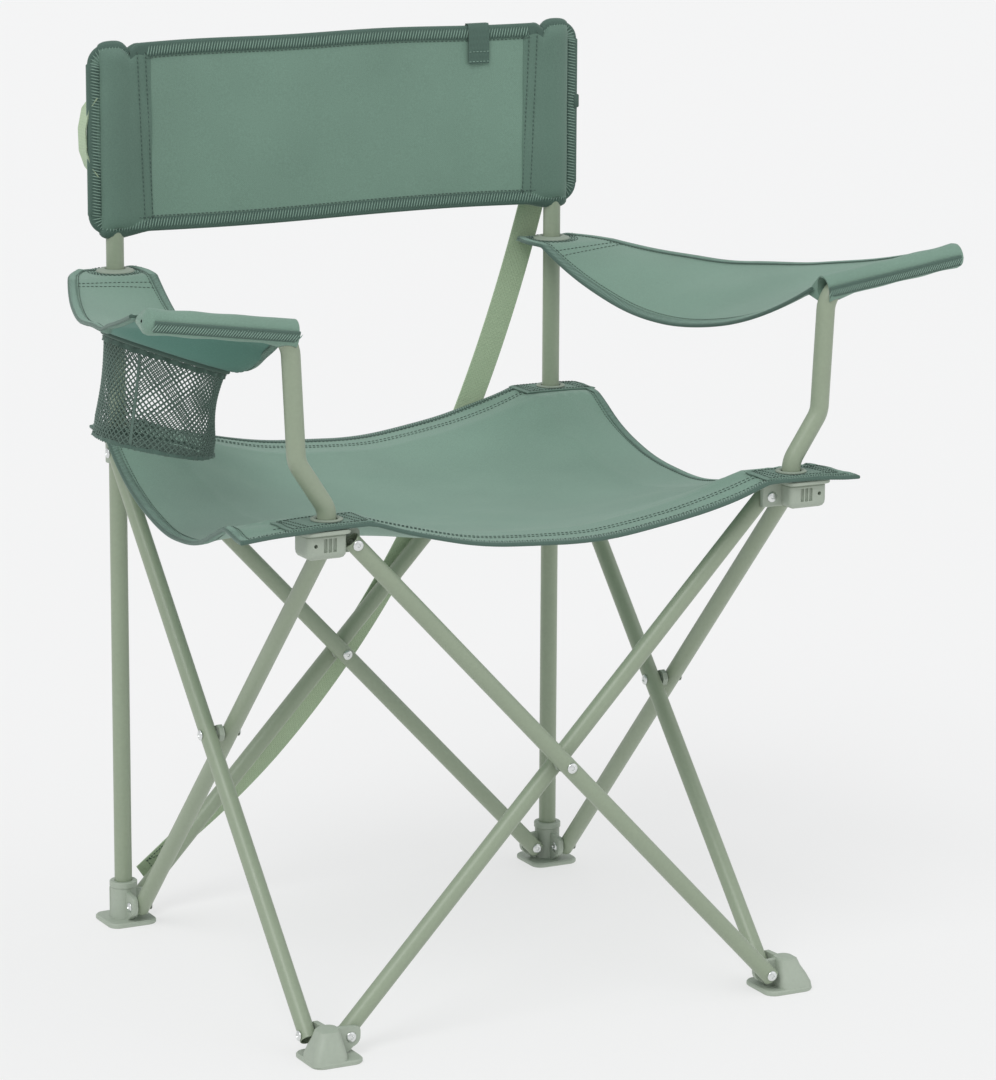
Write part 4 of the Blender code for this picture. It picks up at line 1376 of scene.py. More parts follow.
@dataclass
class Seat:
    """The sling seat, in four triangles that fold down about its edges.

    Attributes:
        cloth: The cloth's thickness.
        front_past: Cloth in front of the front corners' axes.
        rear_past: Cloth behind the rear corners' axes.
        side_left: Cloth beyond the front left corner, at the side.
        side_right: The same at the front right corner.
        side_rear: The same at the rear left and rear right ones.
        sag_across: How deep the front and rear edges hang.
        sag_along: How deep the side edges hang.
        give_back: What the two sags give back in the middle.
        pad: Flat cloth about each corner.
        tape: How far the edge tape reaches in.
        hem: From the edge to its double row of stitches.
    """

    cloth: float = 0.0016
    front_past: float = 0.026
    rear_past: float = 0.0185
    side_left: float = 0.088
    side_right: float = 0.052
    side_rear: tuple[float, float] = (0.018, 0.040)
    sag_across: float = 0.034
    sag_along: float = 0.044
    give_back: float = 0.018
    pad: float = 0.032
    tape: float = 0.008
    hem: float = 0.024
    cells: int = 40

    def height(self, bones: Skeleton, x: float, y: float) -> float:
        """The cloth's height: flat about each corner, hanging between them, with soft creases."""
        flat = bones.corner - self.pad
        across = 1 - min(1.0, abs(x) / flat) ** 2
        along = 1 - min(1.0, abs(y) / flat) ** 2
        sag = self.sag_across * across + self.sag_along * along - self.give_back * across * along
        past = max(0.0, abs(x) - bones.corner - 0.012)
        droop = 0.05 * past
        toward = max(abs(x), abs(y)) / bones.corner
        pull = noise.noise(Vector(((x + y) * 9.0, (x - y) * 9.0, 3.0))) * 0.0022 * min(1.0, across + along)
        ripple = noise.noise(Vector((x * 34, y * 34, 7.5))) * 0.0006 * (1.3 - min(1.0, toward))
        away = Vector((bones.corner - abs(x), bones.corner - abs(y)))
        reach = away.length
        turn = math.atan2(away.y, away.x)
        fan = math.sin(11.0 * turn + (1.3 if x > 0 else 0.2) + (2.1 if y > 0 else 0.0))
        crease = 0.0016 * fan * min(1.0, max(0.0, reach - 0.03) / 0.04) * math.exp(-reach / 0.09)
        return bones.cloth_z - sag - droop + pull + ripple + crease

    def outline(self, bones: Skeleton) -> dict[str, tuple[Vector, Vector]]:
        """Each edge's two ends in plan, in the order in which the cloth goes round."""
        front, rear = -bones.corner - self.front_past, bones.corner + self.rear_past
        left, right = bones.corner + self.side_left, bones.corner + self.side_right
        near, far = (bones.corner + past for past in self.side_rear)
        corners = [Vector((-left, front)), Vector((right, front)), Vector((far, rear)), Vector((-near, rear))]
        names = ("front", "right", "rear", "left")
        return {name: (corners[k], corners[(k + 1) % 4]) for k, name in enumerate(names)}

    def patch(self, bones: Skeleton, edge: str) -> Surface:
        """A triangle's surface: u runs along its edge, v from its edge to the seat's middle."""
        first, last = self.outline(bones)[edge]
        inward = (-(first + last) / 2).normalized()
        bow = {"front": 0.009, "right": 0.020, "rear": 0.0, "left": 0.002}[edge]

        def surface(u: float, v: float) -> Vector:
            flat = first.lerp(last, u) + inward * (bow * (1 - (2 * u - 1) ** 2))
            flat = flat * (1 - v)
            return Vector((flat.x, flat.y, self.height(bones, flat.x, flat.y)))

        return surface

    def whole(self, bones: Skeleton) -> Surface:
        """The seat as one surface over its plan, in metres."""
        return lambda x, y: Vector((x, y, self.height(bones, x, y)))

    def build(self, shop: Workshop, bones: Skeleton) -> None:
        """Make the four triangles with their tape and stitches, and the corner patches."""
        anchors = {"front": (-1, 0), "rear": (-1, 0), "left": (0, 1), "right": (0, 1)}
        for name, (side_x, side_y) in anchors.items():
            for item in self._triangle(shop, bones, name):
                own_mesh(item)
        self._corners(shop, bones)

    def _triangle(self, shop: Workshop, bones: Skeleton, name: str) -> list[bpy.types.Object]:
        """One triangle, its edge tape and its seams."""
        surface = self.patch(bones, name)
        first, last = self.outline(bones)[name]
        length, depth = (last - first).length, ((first + last) / 2).length
        verts, faces, _ = cloth_shell(surface, self.cells, self.cells, self.cloth, (length, depth))
        body = f"seat_{name}"
        panel = new_piece(f"{body}_panel", verts, faces, shop.finishes.cloth, [(p.x, p.y) for p in verts])
        self._settle(panel, bones)
        shop.set_on(panel, body, ["seat_panel"] if name == "rear" else [])
        carriers = {"front": "front_left_bracket", "rear": "rear_left_sleeve"}
        ends = {"left": ["front_left_bracket", "rear_left_sleeve"]}
        ends["right"] = [end.replace("left", "right") for end in ends["left"]]
        ends |= {edge: [left, left.replace("left", "right")] for edge, left in carriers.items()}
        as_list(ends[name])
        line = [(k / 60, 0.0) for k in range(61)]
        thick = 0.0034
        edge = edge_rows(surface, line, (0, 1))
        tape = edge_tape(f"{body}_tape", edge, self.tape, thick, shop.finishes.tape)
        shop.set_on(tape, body, [f"{body}_binding"])
        over = seam(surface, [(u, self.tape * 0.5 / depth) for u, _ in line], thick / 2)
        overs = [over, *mirrored([over], thick - 2 * LIFT)]
        overlock = shop.sew_on(f"{body}_overlock", overs, OVERLOCK, shop.finishes.thread, body)
        lift = self.cloth / 2 + LIFT
        rows = [seam(surface, [(u, (self.tape + 0.0015) / depth) for u, _ in line], lift)]
        if name in carriers:
            for gap in (0.0, 0.006):
                v = (self.hem + gap) / depth
                rows.append(seam(surface, [(0.02 + 0.96 * u, v) for u, _ in line], lift))
        both = [*rows, *mirrored(rows, self.cloth)]
        threads = shop.sew_on(f"{body}_seams", both, RUNNING, shop.finishes.dark_thread, body)
        return [panel, tape, overlock, threads]

    def _settle(self, panel: bpy.types.Object, bones: Skeleton) -> None:
        """Give a triangle the whole seat's normals, so that no crease shows between triangles."""
        field, normals = self.whole(bones), []
        for vertex in panel.data.vertices:
            x, y, z = vertex.co
            out = normal_of(field, x, y, 5e-4)
            normals.append(tuple(out if z > self.height(bones, x, y) else -out))
        panel.data.normals_split_custom_set_from_vertices(normals)

    def _corners(self, shop: Workshop, bones: Skeleton) -> None:
        """The reinforcement patch and the eyelet about the tube at each corner."""
        for end, kind, side_y in (("front", "bracket", -1), ("rear", "sleeve", 1)):
            for hand, side_x in SIDES:
                axis = Vector((side_x * bones.corner, side_y * bones.corner))
                far = self.side_rear[0 if side_x < 0 else 1] - 0.0025 if side_y > 0 else 0.042
                self._corner(shop, bones, f"{end}_{hand}", f"{end}_{hand}_{kind}", axis, far)

    def _corner(
        self, shop: Workshop, bones: Skeleton, name: str, body: str, axis: Vector, far: float
    ) -> None:
        """One corner's patch and eyelet.

        Args:
            shop: The workshop.
            bones: The frame's places.
            name: The corner's name.
            body: The body that carries it.
            axis: The tube's axis in plan.
            far: How far the patch reaches out from it at the side.
        """
        field = self.whole(bones)
        x, y = axis
        half, lift, near = 0.029, 0.0018, 0.034
        long_x = (near + far) / 2
        first_x = x - near if x > 0 else x - far

        def surface(u: float, v: float) -> Vector:
            a, b = first_x + 2 * u * long_x, y + (2 * v - 1) * half * 0.66
            return field(a, b) + Vector((0, 0, lift))

        verts, faces, _ = cloth_shell(surface, 24, 18, 0.0011, (2 * long_x, 2 * half))
        flats = [(p.x, p.y) for p in verts]
        patch = new_piece(f"{name}_seat_patch", verts, faces, shop.finishes.patch, flats, crease=60)
        cut(patch, drill(x, y, bones.cloth_z, 0.0093))
        shop.set_on(patch, body)
        flange = [(0.0135, 0.0001), (0.0135, 0.0009), (0.0125, 0.0016), (0.0105, 0.0016)]
        barrel = [(0.0090, 0.0007), (0.0090, -0.0032), (0.0104, -0.0032), (0.0104, 0.0001)]
        top = Matrix.Translation((x, y, bones.cloth_z + lift + 0.0009))
        eyelet = new_piece(f"{name}_seat_eyelet", *turned([*flange, *barrel], top, 40), shop.finishes.eyelet)
        shop.set_on(eyelet, body)
        edge = [(0.06, 0.08), (0.94, 0.08), (0.94, 0.92), (0.06, 0.92), (0.06, 0.08)]
        hatch = [[(0.1 + 0.1 * k, 0.12), (0.02 + 0.1 * k, 0.88)] for k in (0.6, 1.4, 7.2, 8.0)]
        runs = [corner_seam(surface, line, 0.04, 0.0007 + LIFT) for line in [edge, *hatch]]
        shop.sew_on(f"{name}_seat_patch_seams", runs, HATCH, shop.finishes.dark_thread, body)


@dataclass
class Armrest:
    """One cloth armrest, from its hem on the arm bar to its eyelet on the upright.

    Attributes:
        side: -1 for the left one, which carries the cup holder, or 1 for the right.
        sag_inner: How deep its inner edge hangs.
        sag_outer: How deep its outer edge hangs.
        bulge: How far its outer edge swells, about the cup.
        rear_past: Cloth behind the upright.
        rear_in: Cloth inside the upright.
        rear_out: Cloth outside the upright.
    """

    side: int
    sag_inner: float = 0.056
    sag_outer: float = 0.018
    bulge: float = 0.0
    rear_past: float = 0.0185
    rear_in: float = 0.033
    rear_out: float = 0.036
    cloth: float = 0.0018
    pad: float = 0.030
    tape: float = 0.007
    arms: ArmTubes = field(default_factory=ArmTubes)

    def point(self, bones: Skeleton, rear_z: float, inward: float, back: float) -> Vector:
        """A point of the cloth: inward from 0 at its outer edge to 1, back from 0 at the bar to 1."""
        length = 2 * bones.corner + self.rear_past
        front = Vector((bones.corner + self.arms.end[0], bones.seat_z + self.arms.end[1])).lerp(
            Vector((bones.corner + self.arms.bar[0] - 0.004, bones.seat_z + self.arms.bar[1])), inward
        )
        front.y += self.arms.radius * 0.7
        rear_x = bones.corner + self.rear_out - (self.rear_out + self.rear_in) * inward
        flat = (2 * bones.corner - self.pad) / length
        share = min(1.0, back / flat)
        height = front.y + (rear_z - front.y) * share
        sag = self.sag_outer + (self.sag_inner - self.sag_outer) * inward ** 1.3
        height -= 4 * sag * share * (1 - share)
        swell = self.bulge * (1 - inward) * 4 * back * (1 - back)
        out = front.x + (rear_x - front.x) * back + swell
        taper = max(0.0, back - 0.93) / 0.07
        middle = bones.corner + 0.0015
        out = middle + (out - middle) * (1 - 0.22 * taper**2)
        ripple = noise.noise(Vector((inward * 2.5, back * 6.0, 2.0 + self.side))) * 0.0022
        height += ripple * 4 * share * (1 - share)
        found = Vector((self.side * out, -bones.corner + length * back, height))
        return self._toward_cup(bones, found) if self.side < 0 else found

    @staticmethod
    def _toward_cup(bones: Skeleton, point: Vector) -> Vector:
        """Draw the cloth onto the cup holder's ring near it."""
        place = CupHolder.place(bones)
        local = place.inverted() @ point
        far, near = 0.082, 0.060
        share = min(1.0, max(0.0, (far - math.hypot(local.x, local.y)) / (far - near)))
        share = share * share * (3 - 2 * share)
        local.z += (0.0018 - local.z) * share
        return place @ local

    def build(self, shop: Workshop, bones: Skeleton) -> None:
        """Make the cloth, its tape and seams, its hem and its eyelet."""
        hand = "left" if self.side < 0 else "right"
        ring_high = ends_of(f"{hand}_armrest_ring")[1]
        rear_z = ring_high.z - 0.0027
        body = f"{hand}_armrest"
        length = 2 * bones.corner + self.rear_past
        start = 0.016 / length
        x = self.side * bones.corner

        def surface(u: float, v: float) -> Vector:
            inward = 1 - u if self.side > 0 else u
            return self.point(bones, rear_z, inward, start + (1 - start) * v)

        verts, faces, uvs = cloth_shell(surface, 26, 80, self.cloth, (0.12, length))
        panel = new_piece(f"{body}_panel", verts, faces, shop.finishes.cloth, uvs)
        cut(panel, drill(x, bones.corner, rear_z, 0.0095))
        if self.side < 0:
            radius = CupHolder.ring_radius - 0.003
            mouth = [(0, 0.02), (radius, 0.02), (radius, -0.02), (0, -0.02)]
            cut(panel, turned(mouth, CupHolder.place(bones), 64))
        line_underside(panel, shop.finishes.lining)
        shop.set_on(panel, body, [body])
        soft = [panel]
        fine = [k / 90 for k in range(91)]
        inner, outer = (0.0, 1.0) if self.side > 0 else (1.0, 0.0)
        edges = {
            "inner": ([(inner, v) for v in fine], (self.side, 0)),
            "outer": ([(outer, v) for v in fine], (-self.side, 0)),
            "rear": ([(u, 1.0) for u in fine], (0, -1)),
        }
        overs, rows = [], []
        for where, (line, inward) in edges.items():
            edge = edge_rows(surface, line, inward)
            tape = edge_tape(f"{body}_{where}_tape", edge, self.tape, 0.0032, shop.finishes.tape)
            soft.append(shop.set_on(tape, body))
            overs.append(beside(edge, self.tape * 0.5, 0.0016))
            rows.append(beside(edge, self.tape + 0.002, self.cloth / 2 + LIFT))
        overs += mirrored(overs, 0.0032 - 2 * LIFT)
        soft.append(shop.sew_on(f"{body}_overlock", overs, OVERLOCK, shop.finishes.thread, body))
        for back in (0.845, 0.865):
            rows.append(seam(surface, [(0.06 + 0.88 * u, back) for u in fine], self.cloth / 2 + LIFT))
        centre = Vector((x, bones.corner, rear_z + self.cloth / 2 + LIFT))
        for radius in (0.0192, 0.0218, 0.0244):
            around = [Vector((c, s, 0)) * radius for c, s in [*circle(48), (1, 0)]]
            rows.append([(centre + out, Vector((0, 0, 1))) for out in around])
        soft.append(shop.sew_on(f"{body}_seams", rows, RUNNING, shop.finishes.dark_thread, body))
        for item in soft:
            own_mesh(item)
        self._hem(shop, bones, hand, rear_z)
        self._eyelet(shop, bones, hand, ring_high.z)

    def _behind(self, bones: Skeleton, rear_z: float, centre: Vector, behind: float) -> Vector:
        """The cloth's point at a distance behind a point of the arm bar."""
        span = self.arms.end[0] - self.arms.bar[0] + 0.004
        inward = (bones.corner + self.arms.end[0] - abs(centre.x)) / span
        back = behind / (2 * bones.corner + self.rear_past)
        found = self.point(bones, rear_z, min(1.0, max(0.0, inward)), back)
        return Vector((centre.x, found.y, found.z))

    def _hem(self, shop: Workshop, bones: Skeleton, hand: str, rear_z: float) -> None:
        """The sleeve of cloth around the arm bar, with its overlocked lip below."""
        tip_out, tip_up = self.arms.tip(self.side)
        out, up = self.arms.bar
        bar = Vector((self.side * (bones.corner + out), -bones.corner, bones.seat_z + up))
        end = Vector((self.side * (bones.corner + tip_out), -bones.corner, bones.seat_z + tip_up))
        along = (end - bar).normalized()
        start, stop = bar - along * 0.004, end + along * 0.0055
        up = Vector((0, 0, 1))
        up = (up - along * up.dot(along)).normalized()
        back = Vector((0, 1, 0))
        outer, wall = self.arms.radius + 0.0026, 0.0016
        count, round_steps = 40, 24
        tongue = 0.024
        rings, inner = [], []
        for k in range(count + 1):
            share = k / count
            centre = start.lerp(stop, share)
            swell = 1 + 0.05 * math.sin(share * 21.0) * share
            shut = math.sqrt(1 - 0.92 * max(0.0, (share - 0.955) / 0.045) ** 2)
            tip = self._behind(bones, rear_z, centre, tongue) - centre
            flat = Vector((tip.dot(back), tip.dot(up)))
            half = math.acos(min(1.0, outer / flat.length))
            aim = math.atan2(flat.y, flat.x)
            section = []
            for step in range(round_steps + 1):
                turn = aim + half + (math.tau - 2 * half) * step / round_steps
                flare = 0.0045 * max(0.0, 1 - share / 0.2) * max(0.0, -math.sin(turn))
                way = back * math.cos(turn) + up * math.sin(turn)
                section.append(centre + way * (outer * swell + flare) * shut)
            lower, end_of_tongue = Vector((0, 0, -self.cloth / 2 - 0.0007)), centre + tip * shut
            last, first = section[round_steps], section[0]
            section += [last.lerp(end_of_tongue + lower, part) for part in (0.35, 0.7, 1.0)]
            section += [first.lerp(end_of_tongue - lower, part) for part in (1.0, 0.7, 0.35)]
            rings.append(section)
            inside = []
            for c, s in circle(len(section)):
                flare = 0.0045 * max(0.0, 1 - share / 0.2) * max(0.0, -s)
                inside.append(centre + (back * c + up * s) * max(0.001, (outer + flare) * shut - wall))
            inner.append(inside)
        inner.reverse()
        width = len(rings[0])
        hem = new_piece(
            f"{hand}_armrest_hem",
            *skin([*rings, *inner], loop=True),
            shop.finishes.cloth,
            [(0.12 * (k // width) / count, 0.09 * (k % width) / width) for k in range(width * (2 * count + 2))],
            crease=60,
        )
        reach = bones.corner + self.arms.bar[0] + 0.016
        stem = [p for p in self.arms.path(bones, self.side) if abs(p.x) < reach]
        cut(hem, round_bar(stem, self.arms.radius + 0.0006, sides=40))
        shop.set_on(hem, f"front_{hand}_bracket")
        strip, seam_line = [], []
        for k in range(count + 1):
            centre = start.lerp(stop, k / count)
            front = -back * math.cos(math.radians(15)) - up * math.sin(math.radians(15))
            down = -up * math.cos(math.radians(15)) + back * math.sin(math.radians(15))
            strip.append((centre + front * (outer + 0.0005) - down * 0.0042, front, down))
            behind = self._behind(bones, rear_z, centre, tongue)
            seam_line.append((behind + back * -0.004 + up * (self.cloth / 2 + 0.0031), up))
        tape = edge_tape(f"{hand}_armrest_hem_tape", strip[:-2], 0.0084, 0.0026, shop.finishes.tape)
        runs = [[(p + d * 0.0042 + n * 0.0014, n) for p, n, d in strip[:-2]]]
        body = f"front_{hand}_bracket"
        shop.set_on(tape, body)
        wide = Stitch(0.0024, 0.0088, 0.0010, 60.0)
        shop.sew_on(f"{hand}_armrest_hem_overlock", runs, wide, shop.finishes.thread, body)
        shop.sew_on(f"{hand}_armrest_hem_seam", [seam_line], RUNNING, shop.finishes.dark_thread, body)

    def _eyelet(self, shop: Workshop, bones: Skeleton, hand: str, top: float) -> None:
        """The plastic eyelet that slides on the upright."""
        flange = [(0.0172, -0.0016), (0.0172, -0.0010), (0.0164, -0.0001), (0.0142, 0.0004), (0.0128, 0.0012)]
        barrel = [(0.0100, 0.0012), (0.0088, 0.0002), (0.0088, -0.0088), (0.0128, -0.0088), (0.0128, -0.0016)]
        place = Matrix.Translation((self.side * bones.corner, bones.corner, top))
        shape = turned([*flange, *barrel], place, 48)
        item = new_piece(f"{hand}_armrest_eyelet", *shape, shop.finishes.eyelet, crease=35)
        shop.set_on(item, f"{hand}_armrest_ring", [f"{hand}_armrest_ring"])


@dataclass
class CupHolder:
    """The ring and the net that hang in the left armrest.

    Attributes:
        cells: Meshes round the net.
        rows: Meshes down the net.
        cord: The net cord's radius.
        swing: How far the bottom hangs in from square to the ring.
    """

    cells: int = 62
    rows: int = 15
    cord: float = 0.00058
    swing: float = 0.017
    ring_radius = 0.0555
    depth = 0.084

    @staticmethod
    def place(bones: Skeleton) -> Matrix:
        """The ring's frame: its plane is local X and Y, and the net hangs down local Z."""
        centre = Vector((-bones.corner - 0.085, -bones.corner + 0.130, bones.seat_z + 0.145))
        return Matrix.Translation(centre) @ Matrix.Rotation(math.radians(20), 4, "Y")

    def radius(self, share: float, turn: float) -> float:
        """The net's radius: full at the ring, pinched a little, and full again at its hem."""
        pinch = 0.0045 * math.sin(math.pi * min(1.0, share * 1.25)) * (0.6 + 0.4 * math.cos(turn - 0.6))
        flare = 0.003 * share * (0.5 - 0.5 * math.cos(turn))
        sag = 0.0016 * math.sin(5 * turn + 2) * share
        return self.ring_radius - 0.0035 - pinch + flare - 0.002 * share + sag

    def point(self, frame: Matrix, share: float, turn: float) -> Vector:
        """A point of the net's wall."""
        radius = self.radius(share, turn)
        drop = -0.003 - (self.depth - 0.006) * share
        hang = Vector((self.swing * share, 0, (math.cos(turn) * 0.0075 - 0.0035) * share))
        return frame @ Vector((radius * math.cos(turn), radius * math.sin(turn), drop)) + hang

    def build(self, shop: Workshop, bones: Skeleton) -> None:
        """Make the ring, the net with its hem and bottom, and its bands."""
        frame = self.place(bones)
        pieces = [
            (self._ring(shop, frame), "edge_tape", ["cup_ring"]),
            (self._net(shop, frame), "net", ["cup_net"]),
            (self._band(shop, frame, 0.0, 0.05, "cup_net_top_band"), "edge_tape", []),
            (self._band(shop, frame, 0.962, 1.0, "cup_net_hem"), "edge_tape", []),
            (self._strip(shop, frame), "edge_tape", []),
        ]
        for item, slot, nodes in pieces:
            shop.set_on(item, "left_armrest", nodes)
            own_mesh(item)

    def _ring(self, shop: Workshop, frame: Matrix) -> bpy.types.Object:
        """Two rolled layers of tape around a hoop."""
        middle, half = self.ring_radius - 0.0030, 0.0013
        upper = [(middle + 0.0034 * c, 0.0012 + half * s) for c, s in circle(12) if s >= -0.01]
        lower = [(middle + 0.0034 * c, -0.0014 + half * s) for c, s in circle(12) if s <= 0.01]
        rolls = [*upper, *lower]
        top = sorted([p for p in rolls if p[1] >= 0.0], key=lambda p: p[0])
        bottom = sorted([p for p in rolls if p[1] < 0.0], key=lambda p: -p[0])
        return new_piece("cup_ring_tape", *turned([*top, *bottom], frame, 72), shop.finishes.tape, crease=70)

    def _net(self, shop: Workshop, frame: Matrix) -> bpy.types.Object:
        """The knotted diamond net: its wall and its flat bottom."""
        points: list[Vector] = []
        edges: list[tuple[int, int]] = []
        step = math.tau / self.cells
        rings = 2 * self.rows
        for row in range(rings + 1):
            turn = step / 2 * (row % 2)
            points += [self.point(frame, row / rings, turn + step * k) for k in range(self.cells)]
        for row in range(rings):
            base, below = row * self.cells, (row + 1) * self.cells
            lean = 0 if row % 2 == 0 else 1
            for k in range(self.cells):
                edges.append((base + k, below + (k + lean) % self.cells))
                edges.append((base + k, below + (k + lean - 1) % self.cells))
        self._bottom(frame, points, edges)
        mesh = bpy.data.meshes.new("lattice")
        mesh.from_pydata([tuple(p) for p in points], edges, [])
        values = {"Cord Radius": self.cord, "Knot Radius": self.cord * 1.35, "Material": shop.finishes.net}
        return shop.net.run("cup_net_mesh", mesh, values)

    def _bottom(self, frame: Matrix, points: list[Vector], edges: list[tuple[int, int]]) -> None:
        """Add a square lattice of cord across the bottom, clipped to its round edge."""
        cell = 0.0046
        reach = int(self.ring_radius / cell)
        index: dict[tuple[int, int], int] = {}
        for i in range(-reach, reach + 1):
            for j in range(-reach, reach + 1):
                x, y = (i + j) * cell / math.sqrt(2), (i - j) * cell / math.sqrt(2)
                turn = math.atan2(y, x)
                if math.hypot(x, y) < self.radius(1.0, turn) - 0.001:
                    index[(i, j)] = len(points)
                    dip = 0.003 * (1 - (math.hypot(x, y) / self.ring_radius) ** 2)
                    level = 0.0075 * x / self.ring_radius - 0.0035
                    hang = Vector((self.swing, 0, level))
                    points.append(frame @ Vector((x, y, 0.0035 - self.depth - dip)) + hang)
        for (i, j), here in index.items():
            for there in (index.get((i + 1, j)), index.get((i, j + 1))):
                if there is not None:
                    edges.append((here, there))

    def _band(self, shop: Workshop, frame: Matrix, first: float, last: float, name: str) -> bpy.types.Object:
        """A strip of tape around the net, between two heights, whose edge on the net's side is wavy."""
        rings = []
        inner = last if first < 0.5 else first
        wavy = 0.006
        for k in range(144):
            turn = math.tau * k / 144
            ring = []
            wave = wavy * (math.sin(turn * 7) + 0.6 * math.sin(turn * 17 + 1) + 0.5 * math.sin(turn * 29))
            for share, out in ((first, 0.0009), (last, 0.0012), (last, -0.0009), (first, -0.0009)):
                out += 0.0012 * math.sin(turn * 23 + share * 40)
                centre = self.point(frame, share + (wave if share == inner else 0.0), turn)
                away = frame.to_3x3() @ Vector((math.cos(turn), math.sin(turn), 0))
                ring.append(centre + away * out)
            rings.append(ring)
        uvs = [(0.34 * (k // 4) / 144, 0.01 * (k % 4)) for k in range(576)]
        return new_piece(name, *skin(rings, loop=True), shop.finishes.tape, uvs)

    def _strip(self, shop: Workshop, frame: Matrix) -> bpy.types.Object:
        """The taped seam down the net's front outer side."""
        turn = math.radians(222)
        rings = []
        for k in range(25):
            share = 0.06 + 0.9 * k / 24
            ring = []
            for side, out in ((-1, 0.0006), (1, 0.0006), (1, -0.0008), (-1, -0.0008)):
                swing = turn + side * 0.022
                away = frame.to_3x3() @ Vector((math.cos(swing), math.sin(swing), 0))
                ring.append(self.point(frame, share, swing) + away * out)
            rings.append(ring)
        uvs = [(0.006 * (k % 4), 0.003 * (k // 4)) for k in range(100)]
        return new_piece("cup_net_seam", *skin(rings), shop.finishes.net, uvs)


